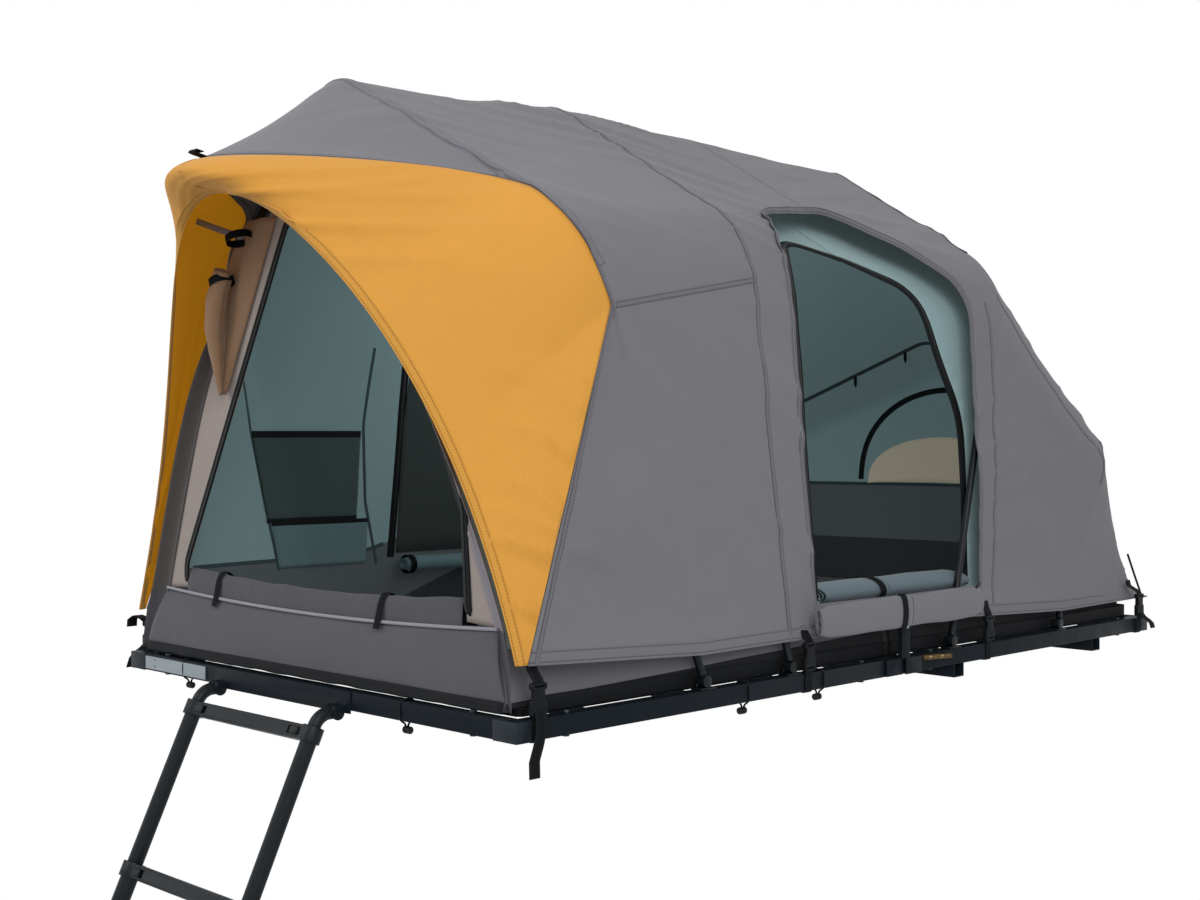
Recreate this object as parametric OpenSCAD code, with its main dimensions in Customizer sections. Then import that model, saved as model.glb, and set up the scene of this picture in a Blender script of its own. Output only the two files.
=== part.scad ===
// Roof top tent: a hinged rail platform with mattress, inner tent, fly on four pole hoops
// and a telescopic ladder hung on the front rail.
// +Z is up, the door end faces -Y, and the origin is the centre of the roof-rack bolt pattern.
// Distances "from the front" run along +Y from the outer face of the front rail.
// Heights are above the underside of the rails.

/* [Platform] */
// Length of the unfolded platform over its end rails
frame_l = 2260; // [2200:10:2400]
// Width of the platform over its side rails
frame_w = 1300; // [1260:10:1400]
// Height of the rectangular rails
rail_h = 36; // [32:1:42]
// Width of the rectangular rails
rail_w = 30; // [26:1:36]
// Wall thickness of the rails
rail_wall = 2.5; // [1.5:0.5:4]
// Slats in each half of the platform
slat_count = 4; // [2:1:6]
// Width of a slat
slat_w = 60; // [30:5:90]
// Thickness of a slat
slat_t = 8; // [5:1:14]
// Length of each leg of a corner bracket
corner_leg = 62; // [50:2:90]
// Sheet thickness of the corner brackets and plates
plate_t = 3; // [2:0.5:5]
// Gap between the bare plate on the front rail and the ladder bracket
front_plate_gap = 38.5; // [10:0.5:80]
// Diameter of the frame bolts
bolt_d = 8; // [6:1:10]

/* [Roof rack mount] */
// Height of the cross channels under the rails
channel_h = 30; // [24:1:40]
// Width of the cross channels
channel_w = 40; // [34:1:60]
// Wall thickness of the cross channels
channel_wall = 3; // [2:0.5:5]
// Distance between the bolts across the platform
mount_span_x = 800; // [600:10:1000]
// Distance between the two channels
mount_span_y = 634; // [500:2:700]
// Centre of the bolt pattern to the outer face of the rear rail
mount_to_rear = 587; // [540:1:640]
// Diameter of the mounting holes
mount_hole_d = 9; // [7:0.5:11]

/* [Platform hinge] */
// Height of the fold axis above the underside of the rails
hinge_z = 110; // [106:1:130]
// Diameter of the hinge pins
pin_d = 10; // [8:1:14]
// Radius of the hinge ears round the pin
ear_r = 15; // [12:1:18]
// Thickness of a hinge leaf
ear_t = 5; // [4:1:8]
// Length of a hinge leaf along the rail
leaf_l = 62; // [50:2:90]

/* [Bed] */
// Thickness of the mattress at its crown
mattress_t = 52; // [40:1:54]
// Rise of the crown over the mattress edge
mattress_crown = 8; // [2:1:14]
// Gap between the mattress and the inner wall
mattress_gap = 24; // [20:1:40]
// Height of the black tub wall over the rails
tub_wall_h = 32; // [20:1:50]
// Thickness of the tub sheet
tub_t = 2; // [1.5:0.5:4]

/* [Hoops] */
// Diameter of the hoop poles
pole_d = 16; // [10:1:20]
// Feet of the four hoops from the fold axis
hoop_foot = [-630, -370, 210, 680]; // [-800:5:800]
// Lean of each hoop, backward run for each unit of rise
hoop_lean = [-0.333, -0.065, 0.331, 0.75]; // [-0.8:0.001:0.8]
// Inset of the fly's hem from the platform's sides at each hoop
hem_in = [2, 10, 2, 10]; // [0:1:30]
// Inset of the shoulder corner of each hoop from the platform's sides
shoulder_in = [24, 78, 46, 44]; // [0:1:120]
// Height of the shoulder corner of each hoop
hoop_shoulder_z = [908, 940, 905, 500]; // [400:1:1000]
// Height of the apex of each hoop
hoop_apex_z = [1254, 1281, 1245, 750]; // [700:1:1350]
// Radius of the bend at each shoulder
hoop_bend_r = [260, 200, 250, 170]; // [100:5:280]

/* [Fly and inner tent] */
// Thickness of the fly solids
fly_t = 3; // [2:0.5:5]
// Height of the fly's hem at its front corner
hem_front_z = 130; // [110:1:160]
// Height of the fly's hem along the sides
hem_side_z = 106; // [90:1:130]
// Height of the fly's hem at the rear
hem_rear_z = 84; // [70:1:110]
// How far the awning's tip stands in front of the front rail
tip_reach = 237; // [150:1:300]
// Height of the awning's tip
tip_z = 1048; // [950:1:1100]
// Height of the awning's opening at its middle
arch_top_z = 983; // [900:1:1010]
// How far the top of the opening stands in front of the front rail
arch_reach = 181; // [100:1:220]
// Distance from the front of the awning's feet
awning_foot = 18; // [5:1:40]
// How far the rear wall of the fly stands behind the rear rail
tail_reach = 60; // [30:1:100]
// Inset of the inner tent behind the fly at the shoulders
inner_inset = 60; // [45:1:90]
// Inset of the inner tent's foot from the platform's sides
inner_foot_in = 50; // [38:1:80]
// Top of the inner front wall
front_wall_top = 1000; // [940:1:1040]
// Inset of the front door's sides from the platform's sides
front_door_in = 195; // [170:5:350]
// Height of the front door's sill
front_sill_z = 186; // [150:1:240]
// Height of the front door's top
front_door_top = 932; // [800:1:950]

/* [Side door] */
// Front edge of the side door from the fold axis
side_door_y0 = -275; // [-290:1:-190]
// Rear edge of the side door from the fold axis
side_door_y1 = 375; // [320:1:430]
// Height of the side door's sill
side_sill_z = 172; // [150:1:220]
// Height of the door's front top corner
side_door_top0 = 1010; // [900:1:1040]
// Height of the door's rear top corner
side_door_top1 = 860; // [760:1:900]
// Width of the inner wall that shows round the zip
zip_margin = 42; // [20:1:80]

/* [Ladder] */
// Middle of the ladder across the platform
ladder_x = -60; // [-200:5:200]
// Distance between the ladder's stiles
stile_span = 415; // [340:5:460]
// Lean of the ladder from the vertical
ladder_lean = 25; // [15:1:35]
// Distance between the rungs
rung_pitch = 340; // [300:5:360]
// Diameter of the hook tubes
hook_d = 26; // [22:1:28]
// Diameter of the top stile tubes
stile_d = 32; // [30:1:36]
// Wall thickness of the stile tubes
stile_wall = 1.4; // [1.2:0.1:1.8]
// Radial play between telescoping tubes
stile_play = 0.4; // [0.3:0.05:0.6]
// Height of a rung and its collars
rung_h = 30; // [26:1:36]
// Depth of a rung
rung_depth = 26; // [22:1:30]
// Wall of the collars
collar_wall = 5; // [4:0.5:7]
// Bend radius of the hooks
hook_r = 38; // [34:1:46]
// Straight run of the hooks behind the bend
hook_run = 10; // [6:1:20]
// Diameter of the pivot bolts
pivot_d = 8; // [6:1:10]
// Travel of the release buttons
button_travel = 10; // [6:1:14]
// Length of a release button
button_l = 24; // [18:1:30]

/* [Hidden] */
$fn = 48;

// Clearances: a seated face, a running pin, two bodies that pass, soft against hard
seat = 0.1;
run_gap = 0.05;
pass_gap = 1;
soft_gap = 0.3;

// Planes of the platform
rear_y = mount_to_rear;
front_y = rear_y - frame_l;
hinge_y = rear_y - frame_l / 2;
rail_z = channel_h;
deck_z = rail_z + rail_h;
fold_z = rail_z + hinge_z;
side_x = frame_w / 2;
hoop_hem_x = [for (v = hem_in) side_x - v];
hoop_shoulder_x = [for (v = shoulder_in) side_x - v];
inner_foot_x = side_x - inner_foot_in;
front_door_x = side_x - front_door_in;
half_l = frame_l / 2;
rail_in = side_x - rail_w;
rail_mid = side_x - rail_w / 2;
fold_gap = 4;
plate_edge = 4;

// Place along the length from the front, and height over the underside of the rails
function fy(d) = front_y + d;
function rz(h) = rail_z + h;

function unit(v) = v / norm(v);
function mix(a, b, t) = a + (b - a) * t;
function polar(a) = [cos(a), sin(a)];
function smooth(t) = t * t * (3 - 2 * t);
function flip(list) = [for (i = [len(list) - 1 : -1 : 0]) list[i]];
function mirrored(list) = [for (p = flip(list)) [-p[0], p[1], p[2]]];

// Arc of radius r that rounds the corner b between a and c, in n steps
function fillet(a, b, c, r, n) =
    let (u = unit(a - b), v = unit(c - b), half = acos(u * v) / 2)
    let (centre = b + unit(u + v) * (r / sin(half)))
    let (s = b + u * (r / tan(half)) - centre, e = b + v * (r / tan(half)) - centre)
    let (e1 = unit(s), e2 = unit(e - (e * e1) * e1), sweep = 180 - 2 * half)
    [for (i = [0 : n]) centre + r * (cos(sweep * i / n) * e1 + sin(sweep * i / n) * e2)];

// Half arch in x and z: leg, shoulder bend, roof slope and rounded apex
leg_n = 9;
bend_n = 5;
roof_n = 4;
apex_n = 2;
apex_r = 90;
half_n = leg_n + bend_n + roof_n + apex_n;
function half_arch(foot, corner, apex_z, r) =
    let (apex = [0, apex_z], other = [-corner[0], corner[1]])
    let (bend = fillet(foot, corner, apex, r, bend_n))
    let (top = fillet(corner, apex, other, apex_r, 2 * apex_n))
    concat(
        [for (i = [0 : leg_n - 1]) mix(foot, bend[0], i / leg_n)],
        bend,
        [for (i = [1 : roof_n - 1]) mix(bend[bend_n], top[0], i / roof_n)],
        [for (i = [0 : apex_n]) top[i]]);
function whole(half) = concat(half, mirrored([for (i = [0 : half_n - 1]) half[i]]));

// Hoop k in its leaning plane, drawn in by inset, with its foot at height foot_z
function hoop_y(k, h) = hinge_y + hoop_foot[k] + hoop_lean[k] * (h - rail_h);
function hoop_half(k, foot_x, foot_z, inset) =
    [for (p = half_arch([foot_x, foot_z], [hoop_shoulder_x[k] - inset, hoop_shoulder_z[k] - inset],
        hoop_apex_z[k] - inset, hoop_bend_r[k] - inset)) [p[0], hoop_y(k, p[1]), rz(p[1])]];
function hoop_row(k, foot_x, foot_z, inset) = whole(hoop_half(k, foot_x, foot_z, inset));

// Row of points where the lines from row p to row q cross the plane y
function cross_row(p, q, y) = [for (i = [0 : len(p) - 1])
    mix(p[i], q[i], (y - p[i][1]) / (q[i][1] - p[i][1]))];

// Thin sheet over a grid of rows, t thick on the side away from the outward normal
function grid_normal(g, i, j) =
    let (rows = len(g) - 1, cols = len(g[0]) - 1)
    let (du = g[i][min(j + 1, cols)] - g[i][max(j - 1, 0)])
    let (dv = g[min(i + 1, rows)][j] - g[max(i - 1, 0)][j])
    unit(cross(du, dv));
module sheet(g, t) {
    rows = len(g);
    cols = len(g[0]);
    count = rows * cols;
    outer = [for (i = [0 : rows - 1]) for (j = [0 : cols - 1]) g[i][j]];
    inner = [for (i = [0 : rows - 1]) for (j = [0 : cols - 1]) g[i][j] + t * grid_normal(g, i, j)];
    skin = [for (i = [0 : rows - 2]) for (j = [0 : cols - 2])
        let (a = i * cols + j, b = a + 1, c = a + cols, d = c + 1) each [[a, b, d], [a, d, c]]];
    lining = [for (f = skin) [f[2] + count, f[1] + count, f[0] + count]];
    ends = [for (j = [0 : cols - 2])
        let (a = j, c = (rows - 1) * cols + j)
        each [[a + 1, a, a + count], [a + 1, a + count, a + 1 + count],
            [c, c + 1, c + 1 + count], [c, c + 1 + count, c + count]]];
    sides = [for (i = [0 : rows - 2])
        let (a = i * cols, b = a + cols, c = a + cols - 1, d = c + cols)
        each [[a, b, b + count], [a, b + count, a + count],
            [d, c, c + count], [d, c + count, d + count]]];
    polyhedron(concat(outer, inner), concat(skin, lining, ends, sides), convexity = 10);
}

// Round tube or rod along points, n sided
module sweep_rod(path, d, n) {
    last = len(path) - 1;
    rings = [for (i = [0 : last])
        let (t = unit(path[min(i + 1, last)] - path[max(i - 1, 0)]))
        let (side = abs(t[1]) > 0.9 ? [1, 0, 0] : [0, 1, 0])
        let (u = unit(cross(t, side)), v = cross(t, u))
        [for (j = [0 : n - 1]) path[i] + d / 2 * (cos(360 * j / n) * u + sin(360 * j / n) * v)]];
    faces = [for (i = [0 : last - 1]) for (j = [0 : n - 1])
        let (a = i * n + j, b = i * n + (j + 1) % n, c = a + n, e = b + n)
        each [[a, c, e], [a, e, b]]];
    caps = [[for (j = [0 : n - 1]) j], [for (j = [n - 1 : -1 : 0]) last * n + j]];
    polyhedron([for (r = rings) each r], concat(faces, caps), convexity = 10);
}

// Rectangle with round corners, from squares and circles
module round_rect(w, h, r) {
    square([w - 2 * r, h], center = true);
    square([w, h - 2 * r], center = true);
    for (x = [-1, 1], y = [-1, 1])
        translate([x * (w / 2 - r), y * (h / 2 - r)]) circle(r);
}

// Rails, slats and brackets of a platform half, drawn for the rear half and turned for the front
module on_half(half) {
    if (half == "rear") children();
    else translate([0, 2 * hinge_y, 0]) mirror([0, 1, 0]) children();
}
module both_sides() {
    children();
    mirror([1, 0, 0]) children();
}

// Vertical frame bolts: on the end rail near the corners, and on the side rails
bolt_inset = 130;
bolt_places = [[side_x - bolt_inset, rear_y - rail_w / 2], [rail_mid, rear_y - bolt_inset],
    [rail_mid, hinge_y + bolt_inset]];
head_h = 5;
module bolt_holes() {
    both_sides() for (p = bolt_places)
        translate([p[0], p[1], rail_z - 1]) cylinder(d = bolt_d + 4 * seat, h = rail_h + 2);
}
module frame_bolts() {
    both_sides() for (p = bolt_places) translate([p[0], p[1], rail_z]) {
        translate([0, 0, -head_h - seat]) cylinder(d = 1.7 * bolt_d, h = head_h, $fn = 6);
        translate([0, 0, -head_h - seat]) cylinder(d = bolt_d, h = rail_h + 2 * head_h + 3 * seat);
        translate([0, 0, rail_h + seat]) cylinder(d = 1.7 * bolt_d, h = head_h, $fn = 6);
    }
}

// Rectangular rail tube between two corners
module rail(x0, x1, y0, y1) {
    along_x = x1 - x0 > y1 - y0;
    wx = along_x ? -1 : rail_wall;
    wy = along_x ? rail_wall : -1;
    difference() {
        translate([x0, y0, rail_z]) cube([x1 - x0, y1 - y0, rail_h]);
        translate([x0 + wx, y0 + wy, rail_z + rail_wall])
            cube([x1 - x0 - 2 * wx, y1 - y0 - 2 * wy, rail_h - 2 * rail_wall]);
    }
}
module side_rails() {
    difference() {
        both_sides() rail(rail_in, side_x, hinge_y + fold_gap / 2, rear_y - rail_w - seat);
        bolt_holes();
    }
}
module cross_rails() {
    difference() {
        rail(-side_x, side_x, rear_y - rail_w, rear_y);
        bolt_holes();
    }
    rail(-rail_in + seat, rail_in - seat, hinge_y + fold_gap / 2, hinge_y + fold_gap / 2 + rail_w);
}

// Slats between the side rails, flush with the deck
slat_from = hinge_y + fold_gap / 2 + rail_w;
slat_to = rear_y - rail_w;
module slats() {
    step = (slat_to - slat_from) / slat_count;
    for (i = [0 : slat_count - 1])
        translate([0, slat_from + (i + 0.5) * step, deck_z - slat_t / 2])
            cube([2 * (rail_in - seat), slat_w, slat_t], center = true);
}

// Corner bracket: an L of sheet on the outer faces of the rails, with a folded foot under them
module corner_brackets() {
    both_sides() difference() {
        translate([side_x + seat + plate_t - corner_leg, rear_y + seat + plate_t - corner_leg, rail_z - 1])
            cube([corner_leg, corner_leg, rail_h + 1]);
        translate([side_x + seat - corner_leg, rear_y + seat - corner_leg, rail_z - 2])
            cube([corner_leg, corner_leg, rail_h + 4]);
    }
}

// Hinge leaf on the outer face of a side rail, with an ear round the pin
module leaf_outline() {
    difference() {
        union() {
            translate([0, rail_z]) square([leaf_l, rail_h]);
            translate([-ear_r, fold_z]) rotate(-90) square([fold_z - deck_z + 1, 2 * ear_r]);
            translate([0, fold_z]) circle(ear_r);
        }
        translate([0, fold_z]) circle(d = pin_d + 2 * run_gap);
        translate([-ear_r - 1, rail_z - 1]) square([ear_r + 1 + fold_gap / 2, rail_h + 1]);
    }
}
front_leaf_x = side_x + seat;
rear_leaf_x = front_leaf_x + ear_t + pass_gap;
module hinge_leaf(x) {
    translate([x, hinge_y, 0]) rotate([90, 0, 90]) linear_extrude(ear_t) leaf_outline();
}
module leaf_spacer() {
    spacer_from = hinge_y + ear_r + pass_gap;
    translate([side_x + seat, spacer_from, rail_z])
        cube([rear_leaf_x - side_x - seat, hinge_y + leaf_l - spacer_from, rail_h]);
}

// Mattress half: flat below, crowned above, sides drawn in between the corners
bed_n = 12;
drawn_in = 6;
module mattress(y0, y1) {
    x1 = inner_foot_x - fly_t - mattress_gap;
    z0 = deck_z + tub_t + 2 * soft_gap;
    edge_t = mattress_t - mattress_crown;
    function bulge(t) = 1 - pow(2 * t - 1, 4);
    function spot(i, j, z) = let (u = i / bed_n, v = j / bed_n)
        [mix(-x1, x1, u) * (1 - drawn_in / x1 * bulge(v)),
            mix(y0, y1, v) + drawn_in * bulge(u) * (1 - 2 * v), z];
    top = [for (i = [0 : bed_n]) [for (j = [0 : bed_n])
        spot(i, j, z0 + edge_t + mattress_crown * bulge(i / bed_n) * bulge(j / bed_n))]];
    n = bed_n + 1;
    low = [for (i = [0 : bed_n]) for (j = [0 : bed_n]) spot(i, j, z0)];
    cells = [for (i = [0 : bed_n - 1]) for (j = [0 : bed_n - 1])
        let (a = i * n + j) each [[a, a + 1, a + n + 1], [a, a + n + 1, a + n]]];
    c = n * n;
    rim = [for (k = [0 : bed_n - 1]) each
        let (a = k, b = k + 1, e = bed_n * n + k, f = k * n, g = (k + 1) * n, h = k * n + bed_n)
        [[a + c, b + c, b], [a + c, b, a], [e, e + 1, e + 1 + c], [e, e + 1 + c, e + c],
            [f, g, g + c], [f, g + c, f + c], [h + c, h + n + c, h + n], [h + c, h + n, h]]];
    polyhedron(concat([for (r = top) each r], low),
        concat(cells, [for (f = cells) [f[2] + c, f[1] + c, f[0] + c]], rim), convexity = 4);
}

// Tub: the black base tray under the inner tent, open towards the hinge
tub_x = inner_foot_x;
module tub_rear_shape(end_y) {
    wall_z = deck_z + soft_gap;
    from_y = hinge_y + fold_gap / 2;
    difference() {
        translate([-tub_x, from_y, wall_z]) cube([2 * tub_x, end_y - from_y, tub_wall_h]);
        translate([-tub_x + tub_t, from_y - 1, wall_z + tub_t])
            cube([2 * (tub_x - tub_t), end_y - from_y + 1 - tub_t, tub_wall_h]);
    }
}

// Fly rows at the hoops, from the opening of the awning to the rear hem
row_a = hoop_row(0, hoop_hem_x[0], hem_side_z, 0);
row_b = hoop_row(1, hoop_hem_x[1], hem_side_z, 0);
row_c = hoop_row(2, hoop_hem_x[2], hem_side_z, 0);
row_d = hoop_row(3, hoop_hem_x[3], hem_rear_z, 0);
lead = 6;
half_a = [for (i = [0 : half_n]) row_a[i]];
awning_foot_x = hoop_hem_x[0] - 10;

// Outer edge of the awning: foot, straight to hoop a's shoulder, along the bend, then to the tip
brow_foot = [awning_foot_x + 8, fy(awning_foot + 14), rz(hem_front_z)];
function brow_half() =
    let (start = half_a[leg_n] - [0, lead, 0], brow = half_a[leg_n + bend_n] - [0, lead, 0])
    let (tip = [0, fy(-tip_reach), rz(tip_z)])
    concat(
        [for (i = [0 : leg_n - 1]) mix(brow_foot, start, i / leg_n)],
        [for (i = [0 : bend_n]) half_a[leg_n + i] - [0, lead, 0]],
        [for (i = [1 : roof_n + apex_n])
            let (w = 1 - half_a[leg_n + bend_n + i][0] / brow[0])
            [half_a[leg_n + bend_n + i][0], mix(brow[1], tip[1], smooth(w)),
                mix(brow[2], tip[2], 1 - pow(1 - w, 3))]]);
row_brow = whole(brow_half());

// Edge of the awning's opening: an arch that curves forward towards its top
arch_power = 1.92;
arch_curl = 2.36;
arch_foot = awning_foot - 8;
function arch_half() = [for (i = [0 : half_n])
    let (a = 90 * i / half_n, rise = pow(sin(a), arch_power))
    [awning_foot_x * cos(a), fy(mix(arch_foot, -arch_reach, pow(rise, arch_curl))),
        rz(mix(hem_front_z, arch_top_z, rise))]];
row_arch = whole(arch_half());

// Rear hem: straight across at y and z, gathered by pinch at its corners
function tail_half(x1, pinch, y, z) = [for (i = [0 : half_n])
    [i < leg_n ? x1 - pinch * i / leg_n : (x1 - pinch) * row_d[i][0] / row_d[leg_n][0], y, z]];
tail_in = 26;
tail_x = side_x - tail_in;
corner_pinch = 40;
row_tail = whole(tail_half(tail_x, corner_pinch, rear_y + tail_reach, rz(hem_rear_z)));

// Fly rows at the hinge, one for each half
seam = 0.5;
row_fold_front = cross_row(row_b, row_c, hinge_y - seam);
row_fold_rear = cross_row(row_b, row_c, hinge_y + seam);

// Side door: leaning front edge, arched top and straight rear edge
door_round = 40;
door_slant = 40;
door_swell = 20;
door_arch_r = 260;
function door_outline(m) =
    let (y0 = hinge_y + side_door_y0 + m, y1 = hinge_y + side_door_y1 - m)
    let (a = [y0, rz(side_sill_z)], b = [y0 + door_slant, rz(side_door_top0 - m)])
    let (c = [y1 + door_swell, rz(side_door_top1 - m)], d = [y1, rz(side_sill_z)])
    concat([a], fillet(a, b, c, door_round, 5), fillet(b, c, d, door_arch_r, 10), [d]);
module side_cut(m) {
    rotate([90, 0, 90]) linear_extrude(frame_w) polygon(door_outline(m));
}

// Inner tent rows, drawn in from the hoops
inner_foot_z = rail_h + tub_wall_h / 2;
inner_x = inner_foot_x - tub_t - soft_gap;
inner_a = hoop_row(0, inner_x, inner_foot_z, inner_inset);
inner_b = hoop_row(1, inner_x, inner_foot_z, inner_inset);
inner_c = hoop_row(2, inner_x, inner_foot_z, inner_inset);
inner_d = hoop_row(3, inner_x, inner_foot_z, inner_inset);
inner_fold_front = cross_row(inner_b, inner_c, hinge_y - seam);
inner_fold_rear = cross_row(inner_b, inner_c, hinge_y + seam);
wall_front = 46;
wall_rear = 46;
wall_lean = 2;
tub_front_y = fy(wall_front - fly_t - tub_t - pass_gap - soft_gap);
tub_rear_y = rear_y - wall_rear + fly_t + tub_t + pass_gap + soft_gap;

// Inner front wall in its own plane: a leaning arch with the door cut out
wall_x = inner_foot_x - fly_t - tub_t - soft_gap;
wall_n = 24;
wall_power = 1.38;
function wall_arch(x, z0, z1) = [for (i = [0 : wall_n]) let (a = 180 * i / wall_n)
    [x * cos(a), mix(z0, z1, pow(sin(a), wall_power))]];
module front_wall_place() {
    translate([0, fy(wall_front), rz(inner_foot_z)]) rotate([90 + wall_lean, 0, 0]) children();
}
function wall_point(p, behind) =
    [p[0], fy(wall_front) - p[1] * sin(wall_lean) + behind, rz(inner_foot_z) + p[1] * cos(wall_lean)];
inner_lip = [for (p = whole([for (i = [0 : half_n]) let (a = 90 * i / half_n)
    [wall_x * cos(a), 0, (front_wall_top - inner_foot_z) * pow(sin(a), wall_power)]]))
    wall_point([p[0], p[2]], fly_t + soft_gap)];
inner_pinch = 10;
inner_tail = whole(tail_half(wall_x, inner_pinch, rear_y - wall_rear, rz(inner_foot_z)));

// Hoop poles start on the barrels of their feet
barrel_d = 24;
foot_plate_t = 4;
barrel_h = rail_h + foot_plate_t + barrel_d / 2;
sleeve_gap = 7;
module hoop(k) {
    foot_dir = unit([0, hoop_lean[k], 1]);
    slope = norm([1, hoop_lean[k]]);
    inset = (fly_t + pole_d / 2 + sleeve_gap) * slope;
    pole = hoop_half(k, hoop_hem_x[k] - inset, hem_side_z, inset);
    start = [rail_mid, hoop_y(k, barrel_h), rz(barrel_h)] + (barrel_d / 2 + pass_gap * slope * slope) * foot_dir;
    sweep_rod(whole([for (i = [0 : half_n]) i == 0 ? start : pole[i]]), pole_d, 8);
}
module pole_foot(k) {
    both_sides() {
        translate([rail_mid - rail_w / 2 + 2, hoop_y(k, barrel_h) - 22, deck_z + seat])
            cube([rail_w - 4, 44, foot_plate_t]);
        difference() {
            translate([rail_mid - rail_w / 2 + 4, hoop_y(k, barrel_h), rz(barrel_h)])
                rotate([0, 90, 0]) cylinder(d = barrel_d, h = rail_w - 8);
            translate([rail_mid - rail_w, hoop_y(k, barrel_h) - barrel_d, deck_z - 1])
                cube([2 * rail_w, 2 * barrel_d, 1 + seat]);
        }
    }
}

// Tie-down webbing from the fly's hem to the rail, with a side-release buckle
web_w = 25;
web_t = 2;
buckle_w = 34;
buckle_l = 58;
buckle_t = 10;
buckle_z = rail_h + 6;
hem_web = 22;
bracket_out = plate_t + seat;
// Each strap: distance from the front, and how far it stands out to clear a corner bracket
strap_end = 46;
front_strap_mid = 330;
rear_strap_mid = 350;
front_strap_places = [[strap_end, bracket_out], [half_l - front_strap_mid, 0]];
rear_strap_places = [[half_l + rear_strap_mid, 0], [frame_l - strap_end, bracket_out]];
module strap(place) {
    x0 = side_x + place[1] + soft_gap;
    under = -1 - soft_gap - web_t;
    translate([0, fy(place[0]) - web_w / 2, 0]) {
        translate([x0, 0, rz(buckle_z + buckle_l + soft_gap)]) cube([web_t, web_w, hem_web]);
        translate([x0, 0, rz(under)]) cube([web_t, web_w, buckle_z - soft_gap - under]);
        translate([rail_in - soft_gap - web_t, 0, rz(under)])
            cube([x0 - rail_in + soft_gap + 2 * web_t, web_w, web_t]);
        translate([rail_in - soft_gap - web_t, 0, rz(under)]) cube([web_t, web_w, rail_h]);
    }
}
module buckle(place) {
    x0 = side_x + place[1] + soft_gap;
    translate([x0 + web_t / 2 - buckle_t / 2, fy(place[0]), rz(buckle_z + buckle_l / 2)])
        rotate([90, 0, 90]) linear_extrude(buckle_t) difference() {
            union() {
                translate([0, -buckle_l / 4]) round_rect(buckle_w, buckle_l / 2, 5);
                translate([0, buckle_l / 8]) round_rect(buckle_w - 10, buckle_l * 0.55, 4);
                translate([0, buckle_l / 2 - 6]) round_rect(buckle_w, 12, 4);
            }
            for (y = [-1, 1]) translate([0, y * (buckle_l / 2 - 6)]) square([web_w, 3.5], center = true);
        }
}

// Bungee loops round the rails, each with a cord lock below
cord_d = 4;
loop_r = norm([rail_w, rail_h]) / 2 + cord_d / 2 + soft_gap;
loop_ahead = [520, 280];
loop_front_in = [220, 320];
loop_side_places = [for (v = loop_ahead) half_l - v];
loop_front_places = [loop_front_in[0] - side_x, side_x - loop_front_in[1]];
module on_loops() {
    for (d = loop_side_places) both_sides()
        translate([rail_mid, fy(d), rail_z + rail_h / 2]) rotate([90, 0, 0]) children();
    for (x = loop_front_places)
        translate([x, fy(rail_w / 2), rail_z + rail_h / 2]) rotate([90, 0, 90]) children();
}
lock_d = 14;
lock_l = 18;

// Ladder frame: origin on the pivot, stiles down local -Z, leaning out towards -Y
pivot_reach = 18;
pivot_drop = 4;
eye_r = 14;
eye_w = hook_d;
cheek_t = 4;
bracket_end = 15;
bracket_l = stile_span + eye_w + 2 * (cheek_t + bracket_end);
spigot_d = hook_d - 2;
bend_angle = 90 - ladder_lean;
arc_end = 180 - bend_angle;
stile_y = -hook_r * (1 + cos(arc_end)) - hook_run * sin(arc_end);
arc_z = -hook_r * sin(arc_end) + hook_run * cos(arc_end);
collar_top = arc_z - pass_gap;
collar_lap = 60;
section_count = 6;
module on_ladder() {
    translate([ladder_x, fy(-pivot_reach), rz(-pivot_drop)]) rotate([-ladder_lean, 0, 0]) children();
}
module on_stiles() {
    for (x = [-1, 1]) translate([x * stile_span / 2, stile_y, 0]) children();
}
function tube_d(k) = stile_d + 2 * (k - 1) * (stile_wall + stile_play);
function section_top(k) = collar_top - (k - 1) * rung_pitch;
slot_l = button_l + button_travel + 2;
slot_h = 16;
slot_depth = 5;
button_gap = 0.4;
// Outer end of a button slot from the middle of the ladder
function slot_end(k) = stile_span / 2 - tube_d(k) / 2 - collar_wall - 4;
module section(k) {
    d = tube_d(k);
    bore = k == 1 ? spigot_d + 2 * stile_play : d - 2 * stile_wall;
    top = section_top(k);
    on_ladder() {
        difference() {
            union() {
                on_stiles() {
                    translate([0, 0, top - rung_pitch - collar_lap])
                        cylinder(d = d, h = rung_pitch + collar_lap - 1);
                    translate([0, 0, top - rung_h]) cylinder(d = d + 2 * collar_wall, h = rung_h);
                }
                translate([-stile_span / 2, stile_y, top - rung_h / 2]) rotate([90, 0, 90])
                    linear_extrude(stile_span) round_rect(rung_depth, rung_h, 6);
            }
            on_stiles() {
                translate([0, 0, top - rung_h]) cylinder(d = bore, h = rung_h + 1);
                translate([0, 0, top - rung_pitch - collar_lap - 1])
                    cylinder(d = d - 2 * stile_wall, h = rung_pitch + collar_lap - rung_h + 1.5);
            }
            for (x = [0, 1]) mirror([x, 0, 0])
                translate([slot_end(k) - slot_l, stile_y - rung_depth / 2 - 1, top - rung_h / 2 - slot_h / 2])
                    cube([slot_l, slot_depth + 1, slot_h]);
        }
    }
}
button_proud = 4;
module ladder_button(k, side) {
    on_ladder() scale([side, 1, 1])
        translate([slot_end(k) - button_l - 1, stile_y - rung_depth / 2 - button_proud,
            section_top(k) - rung_h / 2 - slot_h / 2 + button_gap])
            cube([button_l, slot_depth + button_proud - button_gap, slot_h - 2 * button_gap]);
}

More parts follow.
